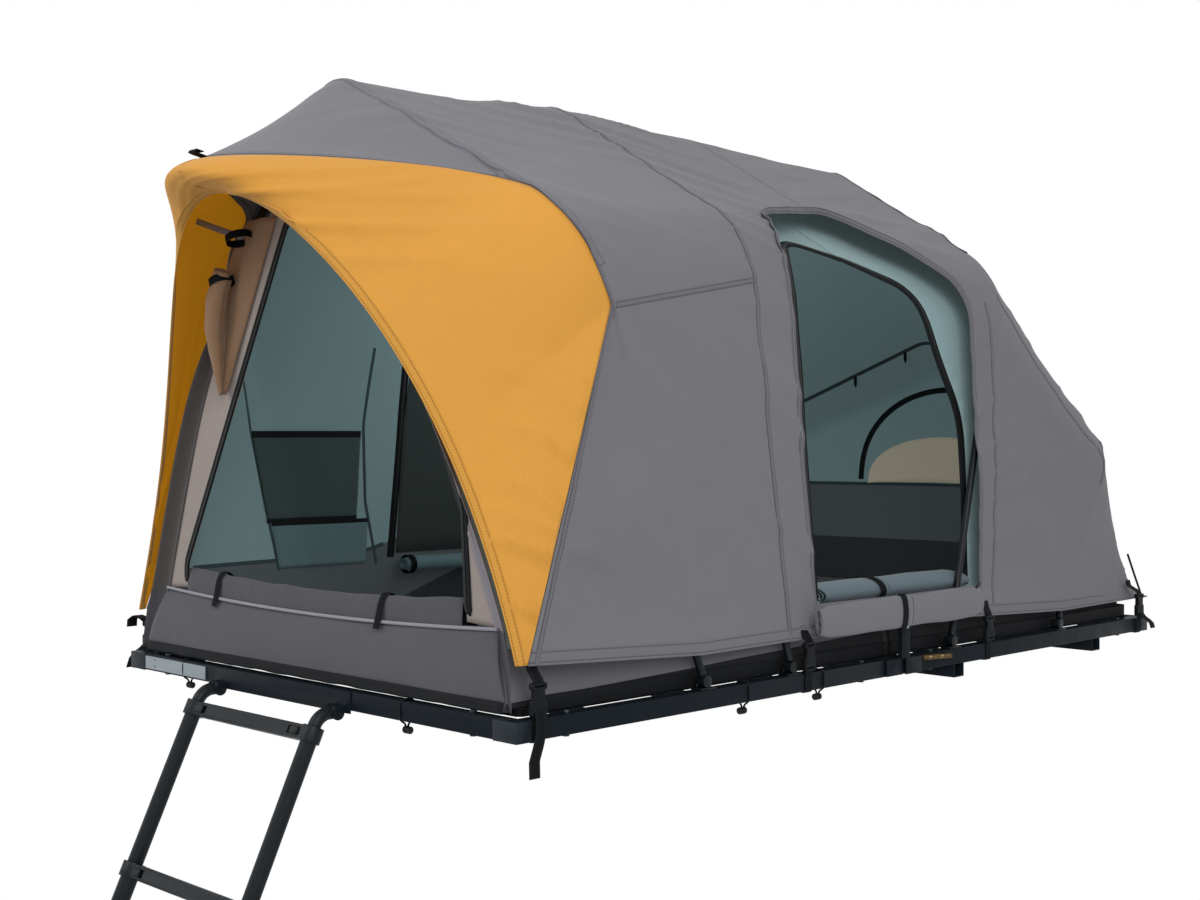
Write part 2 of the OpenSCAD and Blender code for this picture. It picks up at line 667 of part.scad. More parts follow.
// Fixed pieces of the front half
module front_side_rails() { color("#1c2429") on_half("front") side_rails(); }
module front_cross_rails() { color("#1c2429") on_half("front") cross_rails(); }
module front_slats() { color("#2b3034") on_half("front") slats(); }
module front_corner_brackets() { color("#2b363c") on_half("front") corner_brackets(); }
module front_rail_plate() {
    plate_l = ladder_x - bracket_l / 2 - front_plate_gap + side_x - corner_leg;
    color("#9aa3a8") difference() {
        translate([-side_x + corner_leg, fy(-seat - plate_t), rail_z + plate_edge])
            cube([plate_l, plate_t, rail_h - 2 * plate_edge]);
        for (z = [0.3, 0.7]) translate([-side_x + corner_leg + 40, fy(1), rail_z + z * rail_h])
            rotate([90, 0, 0]) cylinder(d = 5, h = plate_t + 4);
    }
}
module front_hinge_leaves() {
    color("#1c2429") on_half("front") both_sides() hinge_leaf(front_leaf_x);
}
module front_bolts() { color("#3a4046") on_half("front") frame_bolts(); }
module front_mattress() {
    color("#3b4045") mattress(fy(wall_front) + mattress_gap, hinge_y - fold_gap / 2);
}
module front_tub() { color("#0f1114") on_half("front") tub_rear_shape(2 * hinge_y - tub_front_y); }
module inner_front_wall() {
    color("#8a7a6c") front_wall_place() linear_extrude(fly_t) difference() {
        polygon(wall_arch(wall_x, 0, front_wall_top - inner_foot_z));
        polygon(wall_arch(front_door_x, front_sill_z - inner_foot_z, front_door_top - inner_foot_z));
    }
}
module inner_front_shell() {
    color("#5a7376") difference() {
        sheet([inner_lip, inner_a, inner_b, inner_fold_front], fly_t);
        side_cut(zip_margin);
    }
}
module fly_front() {
    color("#6f6d72") difference() {
        sheet([row_brow, row_a, row_b, row_fold_front], fly_t);
        side_cut(0);
    }
}
module awning() {
    color("#dfa23f") sheet([row_arch, [for (p = row_brow) p - [0, lead / 2, 0]]], fly_t);
}
module hoop_a() { color("#15181b") hoop(0); }
module hoop_b() { color("#15181b") hoop(1); }
module front_pole_feet() {
    color("#15181b") {
        pole_foot(0);
        pole_foot(1);
    }
}
module front_straps() { color("#14161a") both_sides() for (p = front_strap_places) strap(p); }
module front_buckles() { color("#14161a") both_sides() for (p = front_strap_places) buckle(p); }
module bungee_loops() {
    color("#14161a") on_loops() rotate_extrude() translate([loop_r, 0]) circle(d = cord_d);
}
module cord_locks() {
    color("#202428") on_loops() translate([0, -loop_r - cord_d / 2 - soft_gap - lock_d / 2, 0])
        cylinder(d = lock_d, h = lock_l, center = true);
}

// Rolled door panel along the side door's sill
roll_d = 40;
roll_n = 10;
roll_seat = 2.9;
roll_end = 20;
module side_door_roll() {
    y0 = hinge_y + side_door_y0 + roll_end;
    y1 = hinge_y + side_door_y1 - roll_end;
    sag = 3;
    color("#6f6d72") sweep_rod([for (i = [0 : roll_n]) let (t = i / roll_n)
        [hoop_hem_x[2] - roll_seat + roll_d / 2, mix(y0, y1, t), rz(side_sill_z - roll_d / 2) - sag * sin(180 * t)]],
        roll_d, 10);
}

// Ladder bracket on the front rail: back plate, cheeks and pivot bolts
module ladder_bracket() {
    color("#1c2429") {
        translate([ladder_x - bracket_l / 2, fy(-plate_t - seat), rail_z - 6]) cube([bracket_l, plate_t, rail_h + 6]);
        for (x = [-1, 1]) translate([ladder_x + x * stile_span / 2, fy(-pivot_reach), rz(-pivot_drop)]) {
            for (s = [-1, 1]) translate([s * (eye_w + cheek_t + 2 * seat) / 2, 0, 0])
                rotate([90, 0, 90]) linear_extrude(cheek_t, center = true) {
                    circle(r = eye_r);
                    translate([0, -2]) square([pivot_reach - plate_t, eye_r + 2]);
                }
            rotate([0, 90, 0]) cylinder(d = pivot_d, h = eye_w + 4 * cheek_t, center = true);
        }
    }
}

// Fixed pieces of the rear half
module rear_side_rails() { color("#1c2429") on_half("rear") side_rails(); }
module rear_cross_rails() { color("#1c2429") on_half("rear") cross_rails(); }
module rear_slats() { color("#2b3034") on_half("rear") slats(); }
module rear_corner_brackets() { color("#2b363c") on_half("rear") corner_brackets(); }
module rear_hinge_leaves() {
    color("#1c2429") both_sides() {
        hinge_leaf(rear_leaf_x);
        leaf_spacer();
    }
}
module hinge_pins() {
    pin_head = 4;
    reach = rear_leaf_x + ear_t - front_leaf_x + 2 * seat;
    color("#b5b9bd") both_sides() translate([front_leaf_x - seat, hinge_y, fold_z]) rotate([0, 90, 0]) {
        cylinder(d = pin_d, h = reach);
        translate([0, 0, -pin_head]) cylinder(d = pin_d + 8, h = pin_head);
        translate([0, 0, reach]) cylinder(d = pin_d + 8, h = pin_head);
    }
}
module rear_bolts() { color("#3a4046") frame_bolts(); }
module mount_channels() {
    color("#1c2429") for (y = [-1, 1]) translate([0, y * mount_span_y / 2, 0]) difference() {
        translate([-side_x, -channel_w / 2, 0]) cube([frame_w, channel_w, channel_h - seat]);
        translate([-side_x - 1, -channel_w / 2 + channel_wall, channel_wall])
            cube([frame_w + 2, channel_w - 2 * channel_wall, channel_h]);
        for (x = [-1, 1]) translate([x * mount_span_x / 2, 0, -1])
            cylinder(d = mount_hole_d, h = channel_wall + 2);
    }
}
module rear_mattress() {
    color("#3b4045") mattress(hinge_y + fold_gap / 2, tub_rear_y - mattress_gap);
}
module rear_tub() { color("#0f1114") tub_rear_shape(tub_rear_y); }
module inner_rear_shell() {
    color("#5a7376") difference() {
        sheet([inner_fold_rear, inner_c, inner_d, inner_tail], fly_t);
        side_cut(zip_margin);
    }
}
module fly_rear() {
    color("#6f6d72") difference() {
        sheet([row_fold_rear, row_c, row_d, row_tail], fly_t);
        side_cut(0);
    }
}
module hoop_c() { color("#15181b") hoop(2); }
module hoop_d() { color("#15181b") hoop(3); }
module rear_pole_feet() {
    color("#15181b") {
        pole_foot(2);
        pole_foot(3);
    }
}
module rear_straps() { color("#14161a") both_sides() for (p = rear_strap_places) strap(p); }
module rear_buckles() { color("#14161a") both_sides() for (p = rear_strap_places) buckle(p); }

// Ladder hooks: eye on the pivot, bend and stub inside the top stiles
module ladder_hooks() {
    stub = 26;
    root = 6;
    color("#22282c") on_ladder() for (x = [-1, 1]) translate([x * stile_span / 2, 0, 0]) difference() {
        union() {
            rotate([0, 90, 0]) cylinder(r = eye_r - 1, h = eye_w, center = true);
            rotate([-bend_angle, 0, 0]) translate([0, 0, -hook_run]) cylinder(d = hook_d, h = hook_run);
            translate([0, stile_y + hook_r, arc_z]) rotate([90, 0, 90]) intersection() {
                rotate_extrude() translate([hook_r, 0]) circle(d = hook_d);
                linear_extrude(2 * hook_d, center = true)
                    polygon([[0, 0], for (a = [0 : 2]) 2 * hook_r * polar(mix(arc_end, 180, a / 2))]);
            }
            translate([0, stile_y, arc_z - stub]) cylinder(d = spigot_d, h = stub + root);
        }
        rotate([0, 90, 0]) cylinder(d = pivot_d + 2 * run_gap, h = eye_w + 2, center = true);
    }
}
module ladder_section_1() { color("#22282c") section(1); }
module ladder_section_2() { color("#22282c") section(2); }
module ladder_section_3() { color("#22282c") section(3); }
module ladder_section_4() { color("#22282c") section(4); }
module ladder_section_5() { color("#22282c") section(5); }
module ladder_section_6() { color("#22282c") section(6); }
module ladder_feet() {
    d = tube_d(section_count);
    foot_h = 40;
    foot_base = 12;
    bottom = section_top(section_count) - rung_pitch - collar_lap;
    color("#111315") on_ladder() on_stiles() translate([0, 0, bottom - foot_base]) difference() {
        cylinder(d = d + 10, h = foot_h);
        translate([0, 0, foot_base - seat]) cylinder(d = d + 2 * seat, h = foot_h);
    }
}

front_side_rails();
front_cross_rails();
front_slats();
front_corner_brackets();
front_rail_plate();
front_hinge_leaves();
front_bolts();
front_mattress();
front_tub();
inner_front_wall();
inner_front_shell();
fly_front();
awning();
hoop_a();
hoop_b();
front_pole_feet();
front_straps();
front_buckles();
bungee_loops();
cord_locks();
side_door_roll();
ladder_bracket();
rear_side_rails();
rear_cross_rails();
rear_slats();
rear_corner_brackets();
rear_hinge_leaves();
hinge_pins();
rear_bolts();
mount_channels();
rear_mattress();
rear_tub();
inner_rear_shell();
fly_rear();
hoop_c();
hoop_d();
rear_pole_feet();
rear_straps();
rear_buckles();
ladder_hooks();
ladder_section_1();
ladder_section_2();
ladder_section_3();
ladder_section_4();
ladder_section_5();
ladder_section_6();
ladder_feet();
color("#0c0d0f") ladder_button(1, -1);  // ladder_button_1l
color("#0c0d0f") ladder_button(1, 1);  // ladder_button_1r
color("#0c0d0f") ladder_button(2, -1);  // ladder_button_2l
color("#0c0d0f") ladder_button(2, 1);  // ladder_button_2r
color("#0c0d0f") ladder_button(3, -1);  // ladder_button_3l
color("#0c0d0f") ladder_button(3, 1);  // ladder_button_3r
color("#0c0d0f") ladder_button(4, -1);  // ladder_button_4l
color("#0c0d0f") ladder_button(4, 1);  // ladder_button_4r
color("#0c0d0f") ladder_button(5, -1);  // ladder_button_5l
color("#0c0d0f") ladder_button(5, 1);  // ladder_button_5r
color("#0c0d0f") ladder_button(6, -1);  // ladder_button_6l
color("#0c0d0f") ladder_button(6, 1);  // ladder_button_6r
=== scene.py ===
import bmesh
import bpy
import math
import numpy as np
from mathutils import Matrix, Vector, noise
from mathutils.bvhtree import BVHTree


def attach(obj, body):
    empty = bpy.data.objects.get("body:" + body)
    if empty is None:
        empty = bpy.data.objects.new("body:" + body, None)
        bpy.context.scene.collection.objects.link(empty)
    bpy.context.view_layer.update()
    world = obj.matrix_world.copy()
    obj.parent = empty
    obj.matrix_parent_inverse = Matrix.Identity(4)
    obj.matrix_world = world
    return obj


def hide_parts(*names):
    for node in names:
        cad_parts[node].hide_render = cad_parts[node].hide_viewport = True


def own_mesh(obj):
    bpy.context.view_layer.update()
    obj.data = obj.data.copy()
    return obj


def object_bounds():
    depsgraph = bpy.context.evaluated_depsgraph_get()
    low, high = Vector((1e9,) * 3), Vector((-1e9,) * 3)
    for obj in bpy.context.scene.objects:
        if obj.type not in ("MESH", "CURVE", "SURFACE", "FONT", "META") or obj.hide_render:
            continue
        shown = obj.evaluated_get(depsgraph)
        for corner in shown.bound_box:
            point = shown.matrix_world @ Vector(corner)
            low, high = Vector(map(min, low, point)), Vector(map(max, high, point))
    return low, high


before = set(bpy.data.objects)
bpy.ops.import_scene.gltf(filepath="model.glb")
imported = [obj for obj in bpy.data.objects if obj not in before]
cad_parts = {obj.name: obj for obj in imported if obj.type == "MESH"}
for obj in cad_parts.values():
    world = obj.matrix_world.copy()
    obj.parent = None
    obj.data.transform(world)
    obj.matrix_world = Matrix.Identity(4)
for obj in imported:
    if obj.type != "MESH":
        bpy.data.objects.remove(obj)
cadLow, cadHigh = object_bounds()
print("frame loaded")

# measures of the tent in metres: along y from the front rail, heights from the rails' underside
tent = {
    "frontY": -1.673, "hingeY": -0.543, "rearY": 0.587, "railZ": 0.030, "railH": 0.036, "railW": 0.030,
    "sideX": 0.650, "hoopFoot": (0.500, 0.760, 1.340, 1.810), "hoopLean": (-0.333, -0.065, 0.331, 0.75),
    "hemX": (0.648, 0.640, 0.648, 0.640), "shoulderX": (0.626, 0.572, 0.604, 0.606),
    "shoulderZ": (0.908, 0.940, 0.905, 0.500), "apexZ": (1.254, 1.281, 1.245, 0.750),
    "bendR": (0.260, 0.200, 0.250, 0.170), "apexR": 0.090, "hemFront": 0.130, "hemSide": 0.106,
    "hemRear": 0.084, "tipReach": 0.213, "tipZ": 1.045, "awningBulge": 0.055, "archTop": 0.983,
    "archReach": 0.181, "awningFoot": 0.018, "tailX": 0.624, "tailReach": 0.060, "innerInset": 0.042,
    "innerFootX": 0.614, "wallTop": 1.000, "wallFoot": 0.012, "wallFold": 0.040, "foldH": 0.184,
    "wallLean": 2.8, "wallPower": 1.8, "flyT": 0.003, "tubT": 0.002, "lead": 0.006, "hingeSeam": 0.0005,
}
# door outlines: corners as (along or across, up, radius)
frontDoor = [(0.4717, 0.190), (0.4717, 0.420, 0.100), (0.330, 0.720, 0.250), (0.012, 1.008, 0.080),
             (-0.4717, 0.240, 0.060), (-0.4717, 0.190)]
sideDoor = {
    "fly": [(0.850, 0.172), (0.824, 0.995, 0.110), (1.210, 1.040, 0.160), (1.468, 0.860, 0.100),
            (1.464, 0.172)],
    "zip": [(0.892, 0.172), (0.892, 0.985, 0.120), (1.335, 0.862, 0.120), (1.472, 0.560, 0.250),
            (1.460, 0.172)],
}
steps = {"leg": 52, "bend": 22, "roof": 34, "apex": 8}
halfCount = sum(steps.values())
front = "front_platform"
rear = "rear_platform"


def at(x, along, up):
    return np.array((x, tent["frontY"] + along, tent["railZ"] + up))


def unit(v):
    return v / np.linalg.norm(v, axis=-1, keepdims=True)


def mix(a, b, t):
    return a + (b - a) * t


def smooth(t):
    return t * t * (3 - 2 * t)


def wobble(x, y, z):
    return noise.noise(Vector((x, y, z)))


def linked(name, data):
    obj = bpy.data.objects.new(name, data)
    bpy.context.scene.collection.objects.link(obj)
    return obj


def reworked(mesh, action):
    bm = bmesh.new()
    bm.from_mesh(mesh)
    action(bm)
    bm.to_mesh(mesh)
    bm.free()


# camera at the photograph's place: solved from the platform's corners
camera = {"place": (2.694, -3.503, 0.556), "turn": (89.43, 0.07, 45.19), "lens": 48.57, "sensor": 36,
          "reach": 200}
camData = bpy.data.cameras.new("camera")
camData.lens = camera["lens"]
camData.sensor_width = camera["sensor"]
camData.clip_end = camera["reach"]
cam = linked("camera", camData)
cam.location = camera["place"]
cam.rotation_euler = [math.radians(a) for a in camera["turn"]]
bpy.context.scene.camera = cam


# shader nodes: a value is set on its socket, and another node's output is linked to it
def feed(tree, socket, value):
    if isinstance(value, (int, float, tuple)):
        socket.default_value = value
    else:
        tree.links.new(value, socket)


def mathNode(tree, operation, *values):
    node = tree.nodes.new("ShaderNodeMath")
    node.operation = operation
    for i, value in enumerate(values):
        feed(tree, node.inputs[i], value)
    return node.outputs[0]


def noiseNode(tree, vector, scale, detail=3.0, rough=0.55):
    node = tree.nodes.new("ShaderNodeTexNoise")
    for title, value in (("Vector", vector), ("Scale", scale), ("Detail", detail), ("Roughness", rough)):
        feed(tree, node.inputs[title], value)
    return node.outputs["Fac"]


def stretched(tree, vector, size):
    node = tree.nodes.new("ShaderNodeVectorMath")
    node.operation = "MULTIPLY"
    feed(tree, node.inputs[0], vector)
    feed(tree, node.inputs[1], size)
    return node.outputs[0]


def colourMix(tree, factor, a, b):
    node = tree.nodes.new("ShaderNodeMix")
    node.data_type = "RGBA"
    for title, value in (("Factor", factor), ("A", a), ("B", b)):
        feed(tree, node.inputs[title], value)
    return node


# shader groups shared by several finishes, each placed by a vector
def newGroup(name, inputs, outputs):
    group = bpy.data.node_groups.new(name, "ShaderNodeTree")
    group.interface.new_socket("Vector", in_out="INPUT", socket_type="NodeSocketVector")
    for title, value in inputs.items():
        kind = "NodeSocketColor" if isinstance(value, tuple) else "NodeSocketFloat"
        group.interface.new_socket(title, in_out="INPUT", socket_type=kind).default_value = value
    for title in outputs:
        kind = "NodeSocketColor" if title == "Colour" else "NodeSocketFloat"
        group.interface.new_socket(title, in_out="OUTPUT", socket_type=kind)
    gin = group.nodes.new("NodeGroupInput").outputs
    gout = group.nodes.new("NodeGroupOutput").inputs
    return group, gin, gout


def splitVector(group, vector):
    node = group.nodes.new("ShaderNodeSeparateXYZ")
    group.links.new(vector, node.inputs[0])
    return node.outputs


def weaveGroup():
    group, gin, gout = newGroup("plainWeave", {"Thread": 0.0012}, ("Height", "Shade"))
    axes = splitVector(group, gin["Vector"])
    waves = []
    for axis in ("X", "Y"):
        turns = mathNode(group, "DIVIDE", axes[axis], gin["Thread"])
        waves.append(mathNode(group, "SINE", mathNode(group, "MULTIPLY", turns, math.pi)))
    over = mathNode(group, "MULTIPLY", waves[0], waves[1])
    height = mathNode(group, "MULTIPLY_ADD", over, 0.5, 0.5)
    slub = noiseNode(group, stretched(group, gin["Vector"], (40, 900, 1)), 1.0, 2.0)
    # Shade: the yarn's real slub plus painted shade in the weave's low spots between threads
    shade = mathNode(group, "MULTIPLY_ADD", slub, 0.7, mathNode(group, "MULTIPLY", height, 0.3))
    group.links.new(height, gout["Height"])
    group.links.new(shade, gout["Shade"])
    return group


def toneGroup():
    defaults = {"Colour": (0.5, 0.5, 0.5, 1), "Amount": 0.1}
    group, gin, gout = newGroup("unevenTone", defaults, ("Colour", "Patch"))
    broad = mathNode(group, "MULTIPLY", noiseNode(group, gin["Vector"], 2.2, 3.0), 0.65)
    fine = mathNode(group, "MULTIPLY", noiseNode(group, gin["Vector"], 26.0, 4.0), 0.35)
    patch = mathNode(group, "ADD", broad, fine)
    swing = mathNode(group, "MULTIPLY", mathNode(group, "SUBTRACT", patch, 0.5), gin["Amount"])
    value = mathNode(group, "ADD", mathNode(group, "MULTIPLY", swing, 2.0), 1.0)
    hue = group.nodes.new("ShaderNodeHueSaturation")
    group.links.new(gin["Colour"], hue.inputs["Color"])
    group.links.new(value, hue.inputs["Value"])
    group.links.new(hue.outputs[0], gout["Colour"])
    group.links.new(patch, gout["Patch"])
    return group


def creaseGroup():
    group, gin, gout = newGroup("handCreases", {"Size": 9.0}, ("Height",))
    push = group.nodes.new("ShaderNodeVectorMath")
    push.operation = "MULTIPLY_ADD"
    push.inputs[1].default_value = (0.25, 0.25, 0.25)
    group.links.new(noiseNode(group, gin["Vector"], 3.0, 2.0), push.inputs[0])
    group.links.new(gin["Vector"], push.inputs[2])
    drawn = stretched(group, push.outputs[0], (1.0, 0.45, 1.0))
    ridge = noiseNode(group, drawn, gin["Size"], 4.0, 0.5)
    sharp = mathNode(group, "ABSOLUTE", mathNode(group, "SUBTRACT", ridge, 0.5))
    height = mathNode(group, "SUBTRACT", 1.0, mathNode(group, "MULTIPLY", sharp, 2.0))
    group.links.new(height, gout["Height"])
    return group


def stitchGroup():
    group, gin, gout = newGroup("stitchRows", {"Offset": 0.004, "Pitch": 0.006, "Width": 0.0011}, ("Mask",))
    axes = splitVector(group, gin["Vector"])
    fromMiddle = mathNode(group, "ABSOLUTE", axes["X"])
    across = mathNode(group, "ABSOLUTE", mathNode(group, "SUBTRACT", fromMiddle, gin["Offset"]))
    row = mathNode(group, "LESS_THAN", across, gin["Width"])
    turns = mathNode(group, "DIVIDE", axes["Y"], gin["Pitch"])
    dash = mathNode(group, "LESS_THAN", mathNode(group, "FRACT", turns), 0.72)
    group.links.new(mathNode(group, "MULTIPLY", row, dash), gout["Mask"])
    return group


def scuffGroup():
    defaults = {"Colour": (0.1, 0.1, 0.1, 1), "Worn": (0.4, 0.4, 0.4, 1), "Amount": 0.2, "Rough": 0.4}
    group, gin, gout = newGroup("handlingWear", defaults, ("Colour", "Roughness", "Height"))
    haze = noiseNode(group, gin["Vector"], 14.0, 5.0, 0.65)
    scratch = noiseNode(group, stretched(group, gin["Vector"], (4, 60, 60)), 3.0, 6.0, 0.7)
    ramp = group.nodes.new("ShaderNodeMapRange")
    ramp.inputs["From Min"].default_value = 0.60
    ramp.inputs["From Max"].default_value = 0.74
    group.links.new(scratch, ramp.inputs["Value"])
    amount = mathNode(group, "MULTIPLY", ramp.outputs[0], gin["Amount"])
    blend = colourMix(group, amount, gin["Colour"], gin["Worn"])
    spread = mathNode(group, "MULTIPLY", mathNode(group, "SUBTRACT", haze, 0.5), 0.35)
    group.links.new(blend.outputs["Result"], gout["Colour"])
    group.links.new(mathNode(group, "ADD", gin["Rough"], spread), gout["Roughness"])
    group.links.new(noiseNode(group, gin["Vector"], 700.0, 2.0), gout["Height"])
    return group


groups = {"weave": weaveGroup(), "tone": toneGroup(), "crease": creaseGroup(), "stitch": stitchGroup(),
          "scuff": scuffGroup()}


def linear(hexColour):
    raw = [int(hexColour[i:i + 2], 16) / 255 for i in (1, 3, 5)]
    return tuple(c / 12.92 if c <= 0.04045 else ((c + 0.055) / 1.055) ** 2.4 for c in raw) + (1.0,)


def placeGroup(tree, name, vector, **values):
    node = tree.nodes.new("ShaderNodeGroup")
    node.node_tree = groups[name]
    for title, value in {"Vector": vector, **values}.items():
        feed(tree, node.inputs[title], value)
    return node


def bumpChain(tree, shader, layers):
    last = None
    for height, strength, distance in layers:
        bump = tree.nodes.new("ShaderNodeBump")
        bump.inputs["Strength"].default_value = strength
        bump.inputs["Distance"].default_value = distance
        tree.links.new(height, bump.inputs["Height"])
        if last:
            tree.links.new(last, bump.inputs["Normal"])
        last = bump.outputs[0]
    tree.links.new(last, shader.inputs["Normal"])


def blank(name):
    mat = bpy.data.materials.new(name)
    mat.use_nodes = True
    return mat, mat.node_tree, mat.node_tree.nodes["Principled BSDF"]


# cloth: woven colour, uneven tone, hand creases, stitch rows on tapes, and a painted glow (emission)
# standing in for light that comes through the cloth
def cloth(name, colour, thread=0.0012, tone=0.10, rough=0.82, crease=(9.0, 0.25, 0.004), sheen=0.12,
          stitch=None, alpha=1.0, paintedGlow=0.0, lower=(), gloss=0.25):
    mat, tree, shader = blank(name)
    coords = tree.nodes.new("ShaderNodeTexCoord")
    uv = coords.outputs["UV"]
    weave = placeGroup(tree, "weave", uv, Thread=thread)
    dyed = linear(colour)
    for attribute, level, dark in lower:
        # lower cloths, told apart by each point's height; on the gussets this lower colour is grey cloth
        # darkened as painted shade
        height = tree.nodes.new("ShaderNodeAttribute")
        height.attribute_name = attribute
        under = mathNode(tree, "LESS_THAN", height.outputs["Fac"], level)
        dyed = colourMix(tree, under, dyed, linear(dark)).outputs["Result"]
    shade = placeGroup(tree, "tone", coords.outputs["Object"], Colour=dyed, Amount=tone)
    # the weave's Shade is multiplied in: painted shade between threads, with the yarn's slub
    base = colourMix(tree, 0.22, shade.outputs["Colour"], weave.outputs["Shade"])
    base.blend_type = "MULTIPLY"
    colourOut = base.outputs["Result"]
    layers = [(weave.outputs["Height"], 0.35, thread * 0.4)]
    if crease:
        folds = placeGroup(tree, "crease", coords.outputs["Object"], Size=crease[0])
        layers.insert(0, (folds.outputs["Height"], crease[1], crease[2]))
    if stitch:
        rows = placeGroup(tree, "stitch", uv, Offset=stitch["offset"], Pitch=stitch["pitch"],
                          Width=stitch["width"])
        sewn = colourMix(tree, rows.outputs["Mask"], colourOut, linear(stitch["colour"]))
        colourOut = sewn.outputs["Result"]
        layers.append((rows.outputs["Mask"], 0.6, 0.0006))
    patchRough = mathNode(tree, "MULTIPLY", shade.outputs["Patch"], 0.16)
    settings = {"Base Color": colourOut, "Roughness": mathNode(tree, "ADD", patchRough, rough - 0.08),
                "Sheen Weight": sheen, "Sheen Roughness": 0.5, "Specular IOR Level": gloss, "Alpha": alpha}
    if paintedGlow:
        settings.update({"Emission Color": colourOut, "Emission Strength": paintedGlow})
    for title, value in settings.items():
        feed(tree, shader.inputs[title], value)
    bumpChain(tree, shader, layers)
    return mat


# painted, anodised or moulded hard pieces
def hard(name, colour, worn, rough=0.42, metal=0.0, amount=0.25, grain=0.15, gloss=0.18):
    mat, tree, shader = blank(name)
    spot = tree.nodes.new("ShaderNodeTexCoord").outputs["Object"]
    wear = placeGroup(tree, "scuff", spot, Colour=linear(colour), Worn=linear(worn), Amount=amount,
                      Rough=rough)
    tone = placeGroup(tree, "tone", spot, Colour=wear.outputs["Colour"], Amount=0.10)
    settings = {"Base Color": tone.outputs["Colour"], "Roughness": wear.outputs["Roughness"],
                "Metallic": metal, "Specular IOR Level": gloss}
    for title, value in settings.items():
        feed(tree, shader.inputs[title], value)
    bumpChain(tree, shader, [(wear.outputs["Height"], grain, 0.0004)])
    return mat


